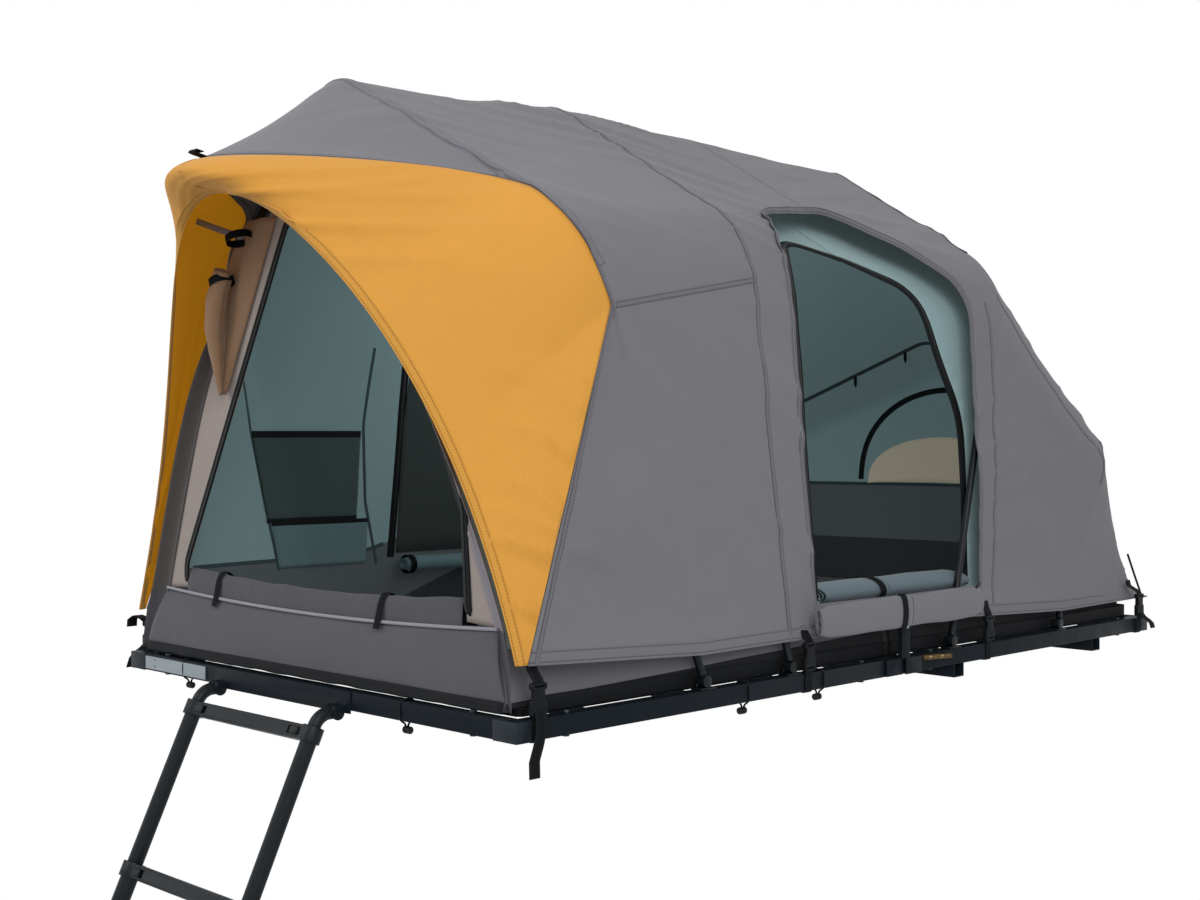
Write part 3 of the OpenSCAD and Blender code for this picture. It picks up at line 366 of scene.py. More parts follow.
seamRow = {"offset": 0.0045, "pitch": 0.006, "width": 0.0014, "colour": "#4b4a50"}
# paintedGlow values paint light into the linings, inner tent, pockets, nets, front wall, door panel and
# window: an emitted glow, not lamps
finish = {
    "fly": cloth("flyCanvas", "#77767b", 0.0011, 0.09, crease=(7.0, 0.42, 0.006)),
    "flyLining": cloth("flyCoatedBack", "#5f5e63", 0.0011, 0.06, crease=None, sheen=0.0, paintedGlow=0.05),
    "flySeam": cloth("flySeamTape", "#6f6e73", 0.0011, 0.06, crease=None, stitch=seamRow),
    "flySleeve": cloth("flySleeveTape", "#737277", 0.0011, 0.06, crease=None,
                       stitch={**seamRow, "offset": 0.0095}),
    "flyHem": cloth("flyHemTape", "#727176", 0.0011, 0.06, crease=None, stitch={**seamRow, "offset": 0.009}),
    "flyPiping": cloth("flyPiping", "#94929a", 0.0009, 0.05, crease=None),
    "awning": cloth("awningCanvas", "#d99a3e", 0.0011, 0.07, crease=(7.0, 0.40, 0.006)),
    "awningLining": cloth("awningBack", "#bd7c10", 0.0011, 0.06, crease=(7.0, 0.40, 0.006), sheen=0.0,
                          paintedGlow=0.46),
    "awningSeam": cloth("awningBinding", "#cf943c", 0.0011, 0.06, crease=None,
                        stitch={**seamRow, "offset": 0.006, "colour": "#a06f26"}),
    "inner": cloth("innerCotton", "#88a0a1", 0.0009, 0.08, sheen=0.08, paintedGlow=0.12,
                   lower=[("up", 0.150, "#66666c"), ("skirt", 0.0, "#0f1114")]),
    "innerLining": cloth("innerCottonBack", "#7c9597", 0.0009, 0.08, sheen=0.05, paintedGlow=0.17,
                         lower=[("rise", 0.0, "#555b5e"), ("rise", -0.164, "#303538")]),
    "innerSeam": cloth("innerSeamTape", "#3f5053", 0.0009, 0.06, crease=None,
                       stitch={**seamRow, "colour": "#2e3b3d"}),
    "pocket": cloth("pocketCloth", "#647e82", 0.0009, 0.06, paintedGlow=0.06),
    "innerFold": cloth("foldedInnerDoor", "#66757c", 0.0009, 0.08, crease=(14.0, 0.5, 0.006)),
    "wall": cloth("frontWallCotton", "#978c86", 0.0009, 0.08, paintedGlow=0.05),
    # door panel: beige cloth given a darker orange-brown, painted shade and painted orange light from the
    # awning
    "wallPanel": cloth("frontDoorPanel", "#8a6c52", 0.0009, 0.08, crease=(14.0, 0.5, 0.006), paintedGlow=0.06),
    # gussets below the fold height take the lower panel's colour: grey cloth darkened as painted shade
    "gusset": cloth("gussetCloth", "#8a858c", 0.0011, 0.08, lower=[("up", 0.182, "#525156")]),
    # left gusset: the same cloth as the right one, darkened as painted shade for its shaded side
    "gussetPaintedShade": cloth("gussetPaintedShadeCloth", "#46413f", 0.0011, 0.08, lower=[("up", 0.182, "#3f3e42")]),
    # lower panel: grey cloth darkened as painted shade for its downward face
    "lowerPanel": cloth("frontLowerPanel", "#525156", 0.0011, 0.08, crease=(7.0, 0.42, 0.006)),
    "sillCloth": cloth("frontSillCloth", "#4b4a50", 0.0010, 0.08, crease=(12.0, 0.5, 0.006)),
    "window": cloth("windowPanel", "#cdbfab", 0.0012, 0.05, paintedGlow=0.17),
    "mesh": cloth("pocketNet", "#42514f", 0.0016, 0.08, alpha=0.55),
    "darkNet": cloth("doorNet", "#38403e", 0.0016, 0.08, paintedGlow=0.04),
    "zipTape": cloth("zipTape", "#1b1e20", 0.0008, 0.10, crease=None, sheen=0.0, gloss=0.12,
                     stitch={**seamRow, "offset": 0.009, "colour": "#101112"}),
    "zipCoil": cloth("zipCoil", "#0f1112", 0.0016, 0.05, rough=0.5, crease=None, sheen=0.0),
    "tub": cloth("coatedTub", "#0e1013", 0.0010, 0.12, rough=0.65, sheen=0.0, gloss=0.14),
    "mattress": cloth("mattressKnit", "#353f42", 0.0016, 0.10),
    "webbing": cloth("webbing", "#0e1012", 0.0020, 0.10, rough=0.7, crease=None, sheen=0.0, gloss=0.08,
                     stitch={**seamRow, "offset": 0.0095, "colour": "#1d2023"}),
    "greyWeb": cloth("greyWebbing", "#85848a", 0.0018, 0.08, rough=0.7, crease=None,
                     stitch={**seamRow, "offset": 0.007, "colour": "#6d6c72"}),
    "cord": cloth("shockCord", "#15171a", 0.0010, 0.15, rough=0.6, crease=None, sheen=0.0, gloss=0.12),
    "rail": hard("railPaint", "#10171d", "#36414a", 0.48, 0.0, 0.20, gloss=0.08),
    "bracket": hard("bracketPaint", "#1b2329", "#5b656c", 0.46, 0.10, 0.30),
    "plate": hard("barePlate", "#8b9499", "#c4cbcf", 0.38, 0.70, 0.45),
    "slat": hard("slatPaint", "#23282c", "#4c5257", 0.60, 0.0, 0.20),
    "bolt": hard("boltSteel", "#3a4146", "#8d959a", 0.40, 0.75, 0.40),
    "pin": hard("pinSteel", "#9ba1a5", "#d5d9db", 0.32, 0.90, 0.30),
    "spring": hard("springSteel", "#6b5a3c", "#a08a60", 0.35, 0.85, 0.30),
    "pole": hard("poleTube", "#14181b", "#5b6267", 0.40, 0.20, 0.20),
    "plastic": hard("mouldedBlack", "#121416", "#2c2f32", 0.55, 0.0, 0.20, 0.30, 0.10),
    "lock": hard("cordLockPlastic", "#1e2327", "#464b4f", 0.50, 0.0, 0.20, 0.30),
    "ladder": hard("ladderAnodised", "#171c20", "#616a70", 0.44, 0.20, 0.24),
    "button": hard("buttonPlastic", "#0f1113", "#34373a", 0.45, 0.0, 0.25, 0.25),
    "foot": hard("footRubber", "#131517", "#3b3d3f", 0.78, 0.0, 0.30, 0.6),
}
print("finishes ready:", len(finish))


# rows of the fly and inner tent, from the right foot over the ridge to the left foot
def fillet(a, b, c, r, n):
    u, v = unit(a - b), unit(c - b)
    half = math.acos(float(np.dot(u, v))) / 2
    centre = b + unit(u + v) * (r / math.sin(half))
    s, e = b + u * (r / math.tan(half)) - centre, b + v * (r / math.tan(half)) - centre
    e1 = unit(s)
    e2 = unit(e - np.dot(e, e1) * e1)
    angles = np.linspace(0, math.pi - 2 * half, n + 1)[:, None]
    return centre + r * (np.cos(angles) * e1 + np.sin(angles) * e2)


def halfArch(foot, corner, apexZ, r):
    foot, corner = np.array(foot), np.array(corner)
    apex, other = np.array((0.0, apexZ)), np.array((-corner[0], corner[1]))
    bend = fillet(foot, corner, apex, r, steps["bend"])
    top = fillet(corner, apex, other, tent["apexR"], 2 * steps["apex"])
    leg = [mix(foot, bend[0], i / steps["leg"]) for i in range(steps["leg"])]
    roof = [mix(bend[-1], top[0], i / steps["roof"]) for i in range(1, steps["roof"])]
    return np.concatenate([leg, bend, roof, top[:steps["apex"] + 1]])


def whole(half):
    return np.concatenate([half, half[-2::-1] * (-1, 1, 1)])


def hoopHalf(k, footX, footZ, inset):
    flat = halfArch((footX, footZ), (tent["shoulderX"][k] - inset, tent["shoulderZ"][k] - inset),
                    tent["apexZ"][k] - inset, tent["bendR"][k] - inset)
    along = tent["hoopFoot"][k] + tent["hoopLean"][k] * (flat[:, 1] - tent["railH"])
    return np.stack([flat[:, 0], tent["frontY"] + along, tent["railZ"] + flat[:, 1]], 1)


def hoopRow(k, footX, footZ, inset):
    return whole(hoopHalf(k, footX, footZ, inset))


def crossRow(p, q, y):
    t = (y - p[:, 1]) / (q[:, 1] - p[:, 1])
    return mix(p, q, t[:, None])


def browRow(halfA):
    footX = tent["hemX"][0] - 0.002
    foot = at(footX, tent["awningFoot"] + 0.014, tent["hemFront"])
    lead = np.array((0, tent["lead"], 0))
    n, b = steps["leg"], steps["bend"]
    start, brow, tip = halfA[n] - lead, halfA[n + b] - lead, at(0, -tent["tipReach"], tent["tipZ"])
    leg = [mix(foot, start, i / n) for i in range(n)]
    bend = [halfA[n + i] - lead for i in range(b + 1)]
    roof = []
    for p in halfA[n + b + 1:]:
        w = 1 - p[0] / brow[0]
        roof.append((p[0], mix(brow[1], tip[1], smooth(w)), mix(brow[2], tip[2], 1 - (1 - w) ** 3)))
    return whole(np.concatenate([leg, bend, roof]))


def archRow(power=1.92, curl=2.36):
    a = np.linspace(0, math.pi / 2, halfCount)
    rise = np.sin(a) ** power
    footX = tent["hemX"][0] - 0.010
    along = mix(tent["awningFoot"] - 0.008, -tent["archReach"], rise ** curl)
    return whole(np.stack([footX * np.cos(a), tent["frontY"] + along,
                           tent["railZ"] + mix(tent["hemFront"], tent["archTop"], rise)], 1))


def tailRow(halfD, x1, pinch, y, z):
    n = steps["leg"]
    x = [x1 - pinch * i / n if i < n else (x1 - pinch) * p[0] / halfD[n][0] for i, p in enumerate(halfD)]
    return whole(np.stack([x, np.full(len(x), y), np.full(len(x), z)], 1))


halfA = hoopHalf(0, tent["hemX"][0], tent["hemSide"], 0)
halfD = hoopHalf(3, tent["hemX"][3], tent["hemRear"], 0)
rowA, rowB, rowC = (hoopRow(k, tent["hemX"][k], tent["hemSide"], 0) for k in range(3))
rowD = whole(halfD)
rowBrow = browRow(halfA)
halfCount = (len(rowA) + 1) // 2
rowArch = archRow()
rowTail = tailRow(halfD, tent["tailX"], 0.040, tent["rearY"] + tent["tailReach"],
                  tent["railZ"] + tent["hemRear"])
foldFront = crossRow(rowB, rowC, tent["hingeY"] - tent["hingeSeam"])
foldRear = crossRow(rowB, rowC, tent["hingeY"] + tent["hingeSeam"])

innerFootZ = tent["railH"] + 0.016
innerX = tent["innerFootX"] - tent["tubT"] - 0.0003
wallX = innerX - tent["flyT"]
innerA, innerB, innerC, innerD = (hoopRow(k, innerX, innerFootZ, tent["innerInset"]) for k in range(4))
innerFoldFront = crossRow(innerB, innerC, tent["hingeY"] - tent["hingeSeam"])
innerFoldRear = crossRow(innerB, innerC, tent["hingeY"] + tent["hingeSeam"])
innerTail = tailRow(halfD, wallX, 0.010, tent["rearY"] - 0.046, tent["railZ"] + innerFootZ)


# front wall: slants back from its foot to the fold, then leans forward to its arched top
def wallAlong(up):
    low = np.clip((up - innerFootZ) / (tent["foldH"] - innerFootZ), 0, 1)
    lean = math.tan(math.radians(tent["wallLean"]))
    return mix(tent["wallFoot"], tent["wallFold"], low) - np.maximum(0, up - tent["foldH"]) * lean


def onWall(x, up, behind=0.0):
    x, up = np.broadcast_arrays(np.asarray(x, float), np.asarray(up, float))
    return np.stack([x, tent["frontY"] + wallAlong(up) + behind, tent["railZ"] + up], -1)


def wallArch(n, first=0.0, behind=0.0):
    a = np.linspace(first, math.pi - first, n)
    rise = 1 - np.abs(np.cos(a)) ** tent["wallPower"]
    return onWall(wallX * np.cos(a), mix(innerFootZ, tent["wallTop"], rise), behind)


foldShare = (tent["foldH"] - innerFootZ) / (tent["wallTop"] - innerFootZ)
foldX = wallX * (1 - foldShare) ** (1 / tent["wallPower"])
innerLip = wallArch(len(rowA), 0.0, 0.0020)


# panels between rows, drawn in a little between the hoops and rippled
def gridNormals(grid):
    along = np.gradient(grid, axis=0)
    across = np.gradient(grid, axis=1)
    normal = np.cross(along, across)
    return normal / np.maximum(np.linalg.norm(normal, axis=2, keepdims=True), 1e-9)


def panels(rows, counts, sag, ripple, seed):
    out, weight = [], []
    for k, n in enumerate(counts):
        for i in range(n + (k == len(counts) - 1)):
            t = i / n
            out.append(mix(rows[k], rows[k + 1], t))
            weight.append(4 * t * (1 - t) * sag[k])
    grid = np.array(out)
    pull = np.array(weight)[:, None]
    normal = gridNormals(grid)
    edge = np.clip(np.arange(grid.shape[1]) / 6, 0, 1)
    edge = np.minimum(edge, edge[::-1])[None, :]
    wave = np.zeros(grid.shape[:2])
    for i, j in np.ndindex(wave.shape):
        x, y, z = Vector(grid[i, j])
        broad = wobble(x * 3.1 + seed, y * 4.3, z * 3.1)
        fine = wobble(x * 9 + seed, y * 7, z * 9)
        wave[i, j] = broad + 0.5 * fine
    free = np.sqrt(np.clip(pull / max(max(sag), 1e-9), 0, 1))
    return grid - normal * (pull * edge)[..., None] + normal * (wave * ripple * free * edge)[..., None]


def gridUv(grid):
    across = np.linalg.norm(np.diff(grid, axis=1), axis=2)
    along = np.linalg.norm(np.diff(grid, axis=0), axis=2)
    u = np.concatenate([np.zeros((grid.shape[0], 1)), np.cumsum(across, axis=1)], 1)
    v = np.concatenate([np.zeros((1, grid.shape[1])), np.cumsum(along, axis=0)], 0)
    return np.stack([u, v], 2)


def gridFaces(rows, cols):
    i, j = np.meshgrid(np.arange(rows - 1), np.arange(cols - 1), indexing="ij")
    a = i * cols + j
    return np.stack([a, a + cols, a + cols + 1, a + 1], 2)


def surfaceOf(grid):
    faces = gridFaces(*grid.shape[:2]).reshape(-1, 4)
    return BVHTree.FromPolygons([Vector(p) for p in grid.reshape(-1, 3)], faces.tolist())


def insideOutline(points, outline):
    x, y = points[..., 0], points[..., 1]
    inside = np.zeros(x.shape, bool)
    for (x0, y0), (x1, y1) in zip(outline, np.roll(outline, -1, axis=0)):
        if y0 == y1:
            continue
        crosses = ((y0 > y) != (y1 > y)) & (x < (x1 - x0) * (y - y0) / (y1 - y0) + x0)
        inside ^= crosses
    return inside


def runLength(path):
    return np.concatenate([[0], np.cumsum(np.linalg.norm(np.diff(path, axis=0), axis=1))])


def evenly(path, n):
    path = np.asarray(path, float)
    run = runLength(path)
    want = np.linspace(0, run[-1], n)
    return np.stack([np.interp(want, run, path[:, k]) for k in range(path.shape[1])], 1)


def resample(path, step):
    path = np.asarray(path, float)
    return evenly(path, max(2, int(round(runLength(path)[-1] / step)) + 1))


def cornered(points, step):
    path = [points[0][:2]]
    for before, corner, after in zip(points, points[1:], points[2:]):
        ends = [np.array(p[:2], float) for p in (before, corner, after)]
        path += [tuple(p) for p in fillet(*ends, corner[2], 16)]
    path.append(points[-1][:2])
    return resample(np.array(path, float), step)


def doorOutline(name, step=0.008):
    return cornered(sideDoor[name], step) + (tent["frontY"], tent["railZ"])


def cutDoor(grid, outline, surface, side):
    centre = (grid[:-1, :-1] + grid[1:, :-1] + grid[1:, 1:] + grid[:-1, 1:]) / 4
    gone = insideOutline(centre[..., 1:], outline) & (centre[..., 0] * side > 0.2)
    near = np.zeros((2,) + grid.shape[:2], int)
    for k, mask in enumerate((gone, ~gone)):
        for di in (0, 1):
            for dj in (0, 1):
                near[k, di:di + mask.shape[0], dj:dj + mask.shape[1]] += mask
    cut = grid.copy()
    for i, j in zip(*np.nonzero((near[0] > 0) & (near[1] > 0))):
        target = outline[np.argmin(((outline - grid[i, j, 1:]) ** 2).sum(1))].copy()
        target[0] = np.clip(target[0], grid[..., 1].min(), grid[..., 1].max())
        if abs(grid[i, j, 1] - tent["hingeY"]) < 0.002:
            target = np.array((grid[i, j, 1], target[1]))
        hit = surface.ray_cast(Vector((side * 1.5, target[0], target[1])), Vector((-side, 0, 0)))[0]
        cut[i, j] = hit if hit else (grid[i, j, 0], target[0], target[1])
    return cut, ~gone


def clear():
    bpy.ops.object.select_all(action="DESELECT")


def only(obj):
    clear()
    obj.select_set(True)
    bpy.context.view_layer.objects.active = obj
    return obj


def applyAll(obj):
    only(obj)
    for name in [m.name for m in obj.modifiers]:
        bpy.ops.object.modifier_apply(modifier=name)
    return obj


def newMesh(name, verts, faces, uvs, mats, matIndex=None):
    mesh = bpy.data.meshes.new(name)
    mesh.from_pydata([tuple(p) for p in verts], [], [tuple(int(i) for i in f) for f in faces])
    layer = mesh.uv_layers.new(name="uv")
    loops = np.zeros(len(mesh.loops), np.int32)
    mesh.loops.foreach_get("vertex_index", loops)
    layer.data.foreach_set("uv", np.asarray(uvs, np.float32)[loops].ravel())
    for m in mats:
        mesh.materials.append(finish[m])
    if matIndex is not None:
        mesh.polygons.foreach_set("material_index", np.asarray(matIndex, np.int32))
    mesh.update()
    return linked(name, mesh)


def dropLoose(bm):
    bmesh.ops.delete(bm, geom=[v for v in bm.verts if not v.link_faces], context="VERTS")


def faceOut(bm):
    bmesh.ops.recalc_face_normals(bm, faces=bm.faces[:])


def mergeFlats(bm):
    bmesh.ops.remove_doubles(bm, verts=bm.verts[:], dist=0.00001)
    bmesh.ops.dissolve_limit(bm, angle_limit=math.radians(1), verts=bm.verts[:], edges=bm.edges[:])


def clothObject(name, grid, mats, keep=None, thick=0.0014, heights=None):
    faces = gridFaces(*grid.shape[:2])
    mask = np.ones(faces.shape[:2], bool) if keep is None else keep
    obj = newMesh(name, grid.reshape(-1, 3), faces[mask], gridUv(grid).reshape(-1, 2), mats)
    for title, values in (heights or {}).items():
        layer = obj.data.attributes.new(title, "FLOAT", "POINT")
        layer.data.foreach_set("value", np.asarray(values, np.float32).ravel())
    reworked(obj.data, dropLoose)
    area = sum(p.area for p in obj.data.polygons)
    solid = obj.modifiers.new("thickness", "SOLIDIFY")
    solid.thickness = thick
    solid.offset = -1
    solid.material_offset = len(mats) - 1
    applyAll(obj)
    bpy.ops.object.shade_smooth()
    return obj, area


# loose parts that are gathered into one object
def ringsPart(rings, uv, mat=0):
    rings = np.asarray(rings, float)
    n, m = rings.shape[:2]
    faces = []
    for a in range(0, (n - 1) * m, m):
        faces += [(a + j, a + (j + 1) % m, a + m + (j + 1) % m, a + m + j) for j in range(m)]
    faces += [tuple(range(m))[::-1], tuple((n - 1) * m + j for j in range(m))]
    return {"v": rings.reshape(-1, 3), "f": faces, "uv": np.asarray(uv, float).reshape(-1, 2), "m": mat}


def tubePart(path, radius, sides):
    p = np.asarray(path, float)
    t = unit(np.gradient(p, axis=0))
    r = np.broadcast_to(np.asarray(radius, float), len(p))
    ref = np.array((0, 0, 1.0)) if abs(t[0][2]) < 0.9 else np.array((0, 1.0, 0))
    u = unit(np.cross(t[0], ref))
    angle = np.arange(sides) * 2 * math.pi / sides
    rings = []
    for i in range(len(p)):
        u = unit(u - t[i] * np.dot(u, t[i]))
        w = np.cross(t[i], u)
        rings.append(p[i] + r[i] * (np.cos(angle)[:, None] * u + np.sin(angle)[:, None] * w))
    run = runLength(p)
    uv = [[(a * r[i], run[i]) for a in angle] for i in range(len(p))]
    return ringsPart(rings, uv)


def bandUv(offsets, run):
    return np.stack([np.stack([np.full(len(run), a), run], 1) for a in offsets], 1)


def nearestOn(surface, points):
    found = [surface.find_nearest(Vector(p)) for p in points]
    return np.array([f[0] for f in found]), np.array([f[1] for f in found])


def ribbonPart(path, surface, width, lift, mat=0, side=1, step=0.015, sink=0.0012):
    path = resample(path, step)
    place, normal = nearestOn(surface, path)
    for _ in range(2):
        normal[1:-1] = normal[:-2] + normal[1:-1] * 2 + normal[2:]
        normal = unit(normal)
    t = unit(np.gradient(place, axis=0))
    s = unit(np.cross(normal, t))
    run = runLength(place)
    across = [(0.5, 0), (0.46, lift), (0.2, lift * 1.15), (-0.2, lift * 1.15), (-0.46, lift), (-0.5, 0),
              (-0.48, -sink), (0.48, -sink)]
    rings = []
    for a, h in across:
        spot = place + s * (a * width)
        if width > 0.016:
            spot = nearestOn(surface, spot)[0]
        rings.append(spot + normal * side * h)
    return ringsPart(np.stack(rings, 1), bandUv([a * width for a, h in across], run), mat)


def shared(path, n):
    want, have = np.linspace(0, 1, n), np.linspace(0, 1, len(path))
    return np.stack([np.interp(want, have, path[:, k]) for k in range(3)], 1)


def bindingPart(edge, inward, surface, width, thick, mat=0, step=0.012, reach=0.0015):
    edge, inward = resample(edge, step), resample(inward, step)
    n = min(len(edge), len(inward))
    if len(edge) != len(inward):
        edge, inward = shared(edge, n), shared(inward, n)
    normal = unit(nearestOn(surface, edge)[1])
    s = unit(inward - edge)
    run = runLength(edge)
    under = -thick - 0.0014
    shape = [(-reach, -thick * 0.4), (-reach, thick * 0.4), (0.001, thick), (width - 0.001, thick),
             (width, 0.0002), (width, -0.0016), (width - 0.001, under), (0.001, under)]
    rings = np.stack([edge + s * a + normal * b for a, b in shape], 1)
    return ringsPart(rings, bandUv([a - width / 2 for a, b in shape], run), mat)


def strapPart(path, across, width, thick, mat=0, step=0.006):
    path = resample(path, step)
    across = np.broadcast_to(np.asarray(across, float), path.shape)
    t = unit(np.gradient(path, axis=0))
    n = unit(np.cross(t, across))
    shape = [(0.5, 0.3), (0.46, 0.5), (-0.46, 0.5), (-0.5, 0.3)]
    shape += [(-a, -b) for a, b in shape]
    run = runLength(path)
    rings = np.stack([path + across * (a * width) + n * (b * thick) for a, b in shape], 1)
    return ringsPart(rings, bandUv([a * width for a, b in shape], run), mat)


# angles in degrees over which an edge stays sharp
creases = {"soft": 40, "hard": 35, "bevel": 34}


def gather(name, parts, mats, body, slot=None, squashed=False, node=None):
    verts, faces, uvs, index, base = [], [], [], [], 0
    for p in parts:
        verts.append(p["v"])
        uvs.append(p["uv"])
        faces += [tuple(i + base for i in f) for f in p["f"]]
        index += [p["m"]] * len(p["f"])
        base += len(p["v"])
    obj = newMesh(name, np.concatenate(verts), faces, np.concatenate(uvs), mats, index)
    reworked(obj.data, faceOut)
    only(obj)
    bpy.ops.object.shade_smooth_by_angle(angle=math.radians(creases["soft"]))
    return place(obj, body, slot, squashed, node)


def place(obj, body, slot=None, squashed=False, node=None):
    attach(obj, body)
    if squashed:
        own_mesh(obj)
    if node:
        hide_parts(node)
    return obj


# a sheet of cloth on its body; the sheet argument (flat width, how it is held and what carries it) is not
# used
def sheetPiece(name, grid, mats, body, slot, sheet, node=None, squashed=True, **shape):
    obj, area = clothObject(name, grid, mats, **shape)
    place(obj, body, slot, squashed, node)


def rippled(grid, amount, seed):
    rows = np.sin(np.linspace(0, math.pi, grid.shape[0]))[:, None]
    cols = np.sqrt(np.sin(np.linspace(0, math.pi, grid.shape[1])))[None, :]
    wave = np.array([[wobble(p[0] * 5 + seed, p[1] * 5, p[2] * 5) for p in row]
                     for row in grid])
    return grid + gridNormals(grid) * (wave * rows * cols * amount)[..., None]


# pulled folds: narrow ridges that run out between the hoops
def pulled(grid, amount, seed, turn):
    uv = gridUv(grid)
    u = uv[..., 0] * math.cos(turn) + uv[..., 1] * math.sin(turn)
    v = uv[..., 1] * math.cos(turn) - uv[..., 0] * math.sin(turn)
    rows = np.clip(np.sin(np.linspace(0, math.pi, grid.shape[0])) * 4, 0, 1)[:, None]
    cols = np.clip(np.sin(np.linspace(0, math.pi, grid.shape[1])) * 6, 0, 1)[None, :]
    ridge = np.zeros(grid.shape[:2])
    for i, j in np.ndindex(ridge.shape):
        a = wobble(u[i, j] * 9 + seed, v[i, j] * 1.5, seed)
        b = wobble(u[i, j] * 2.2, v[i, j] * 2.2 + seed, 4.0)
        ridge[i, j] = max(0.0, 1 - 3.2 * abs(a)) ** 2 * max(0.0, 0.35 + b)
    return grid + gridNormals(grid) * (ridge * rows * cols * amount)[..., None]


# fly: two halves that part at the platform's hinge
flySet = {"frontCounts": (26, 22, 26), "rearCounts": (18, 32, 34), "sagFront": (0.010, 0.008, 0.005),
          "sagRear": (0.004, 0.010, 0.008), "ripple": 0.0048, "fold": 0.013}
gridFlyFront = panels([rowBrow, rowA, rowB, foldFront], flySet["frontCounts"], flySet["sagFront"],
                      flySet["ripple"], 3.0)
gridFlyRear = panels([foldRear, rowC, rowD, rowTail], flySet["rearCounts"], flySet["sagRear"],
                     flySet["ripple"], 8.0)
gridFlyFront = pulled(gridFlyFront, flySet["fold"], 5.0, 0.5)
gridFlyRear = pulled(gridFlyRear, flySet["fold"], 11.0, -0.4)
surfFlyFront, surfFlyRear = surfaceOf(gridFlyFront), surfaceOf(gridFlyRear)
flyOutline = doorOutline("fly")
cutFlyFront, keepFlyFront = cutDoor(gridFlyFront, flyOutline, surfFlyFront, 1)
cutFlyRear, keepFlyRear = cutDoor(gridFlyRear, flyOutline, surfFlyRear, 1)
sheetPiece("flyFront", cutFlyFront, ["fly", "flyLining"], front, "fly_fabric",
           (2.9, "stretched", ["hoop_a", "hoop_b"]), "fly_front", keep=keepFlyFront)
sheetPiece("flyRear", cutFlyRear, ["fly", "flyLining"], rear, "fly_fabric",
           (2.9, "stretched", ["hoop_c", "hoop_d"]), "fly_rear", keep=keepFlyRear)
print("fly built")

# awning over the front door, bulged between the arch and the brow
awningSet = {"rows": 36, "fade": 0.550, "centre": 0.470, "ripple": 0.006, "fold": 0.010}


def awningRows():
    brow = rowBrow - (0, tent["lead"] / 2, 0)
    out = []
    for t in np.linspace(0, 1, awningSet["rows"]):
        row = mix(rowArch, brow, t)
        away = unit(row[:, :2] - (0, tent["frontY"] + awningSet["centre"]))
        fade = smooth(np.clip(1 - np.abs(row[:, 0]) / awningSet["fade"], 0, 1))
        row[:, :2] += away * (4 * t * (1 - t) * tent["awningBulge"] * fade)[:, None]
        out.append(row)
    return np.array(out)


gridAwning = pulled(rippled(awningRows(), awningSet["ripple"], 14.0), awningSet["fold"], 17.0, 0.3)
surfAwning = surfaceOf(gridAwning)
sheetPiece("awningPanel", gridAwning, ["awning", "awningLining"], front, "awning_fabric",
           (3.0, "stretched", ["fly_front"]), "awning")
middle = halfCount - 1
shoulder = steps["leg"]
awningTrim = [
    bindingPart(gridAwning[0], gridAwning[1], surfAwning, 0.017, 0.0012, 0),
    ribbonPart(gridAwning[2:-2, middle], surfAwning, 0.013, 0.0008, 0),
]
gather("awningTrim", awningTrim, ["awningSeam"], front, "awning_fabric", True)
tip = gridAwning[-1, middle]
tabPath = [tip + p for p in ((0, 0.012, 0.004), (0, -0.004, 0.007), (0, -0.016, 0.010), (0, -0.012, 0.015),
                             (0, 0.004, 0.012))]
tab = strapPart(tabPath, (1, 0, 0), 0.024, 0.0018, step=0.003)
gather("awningTab", [tab], ["webbing"], front, "webbing", True)

# trim as width, lift and finish: on the fly, on the front door and in the inner tent
trim = {
    "seam": (0.012, 0.0010, 0), "strip": (0.010, 0.0009, 0), "bound": (0.014, 0.0010, 0),
    "hem": (0.026, 0.0010, 1), "sleeve": (0.026, 0.0018, 2), "flap": (0.026, 0.0014, 2),
    "closed": (0.030, 0.0014, 2), "doorTape": (0.015, 0.0020, 0), "doorCoil": (0.007, 0.0034, 1),
    "tape": (0.024, 0.0016, 0), "coil": (0.009, 0.0034, 1), "farTape": (0.024, 0.0018, 0),
    "farCoil": (0.008, 0.0034, 1), "windowTape": (0.018, 0.0018, 0), "wallSeam": (0.009, 0.0012, 2),
    "lowSeam": (0.010, 0.0012, 2), "ceilingSeam": (0.014, 0.0016, 2),
}
rowsFront = {"a": flySet["frontCounts"][0], "b": sum(flySet["frontCounts"][:2])}
rowsRear = {"c": flySet["rearCounts"][0], "d": sum(flySet["rearCounts"][:2]),
            "tail": sum(flySet["rearCounts"])}
lastCol = gridFlyFront.shape[1] - 1
roofStart = steps["leg"] + steps["bend"]
sleeveRow = gridFlyFront[rowsFront["a"], shoulder + 6:lastCol - shoulder - 5]
seamsFront = [ribbonPart(sleeveRow, surfFlyFront, *trim["sleeve"])]
for row in (gridFlyFront[rowsFront["b"]], gridFlyFront[1]):
    seamsFront.append(ribbonPart(row, surfFlyFront, *trim["seam"]))
seamsRear = []
for row, start in (("c", roofStart), ("d", shoulder)):
    path = gridFlyRear[rowsRear[row], start:lastCol - start + 1]
    seamsRear.append(ribbonPart(path, surfFlyRear, *trim["seam"]))
for col in (shoulder, lastCol - shoulder):
    path = gridFlyFront[rowsFront["a"]:rowsFront["b"] + 1, col]
    seamsFront.append(ribbonPart(path, surfFlyFront, *trim["seam"]))
for col in (shoulder + 8, lastCol - shoulder - 8):
    path = gridFlyRear[rowsRear["c"]:rowsRear["tail"] + 1, col]
    seamsRear.append(ribbonPart(path, surfFlyRear, *trim["seam"]))
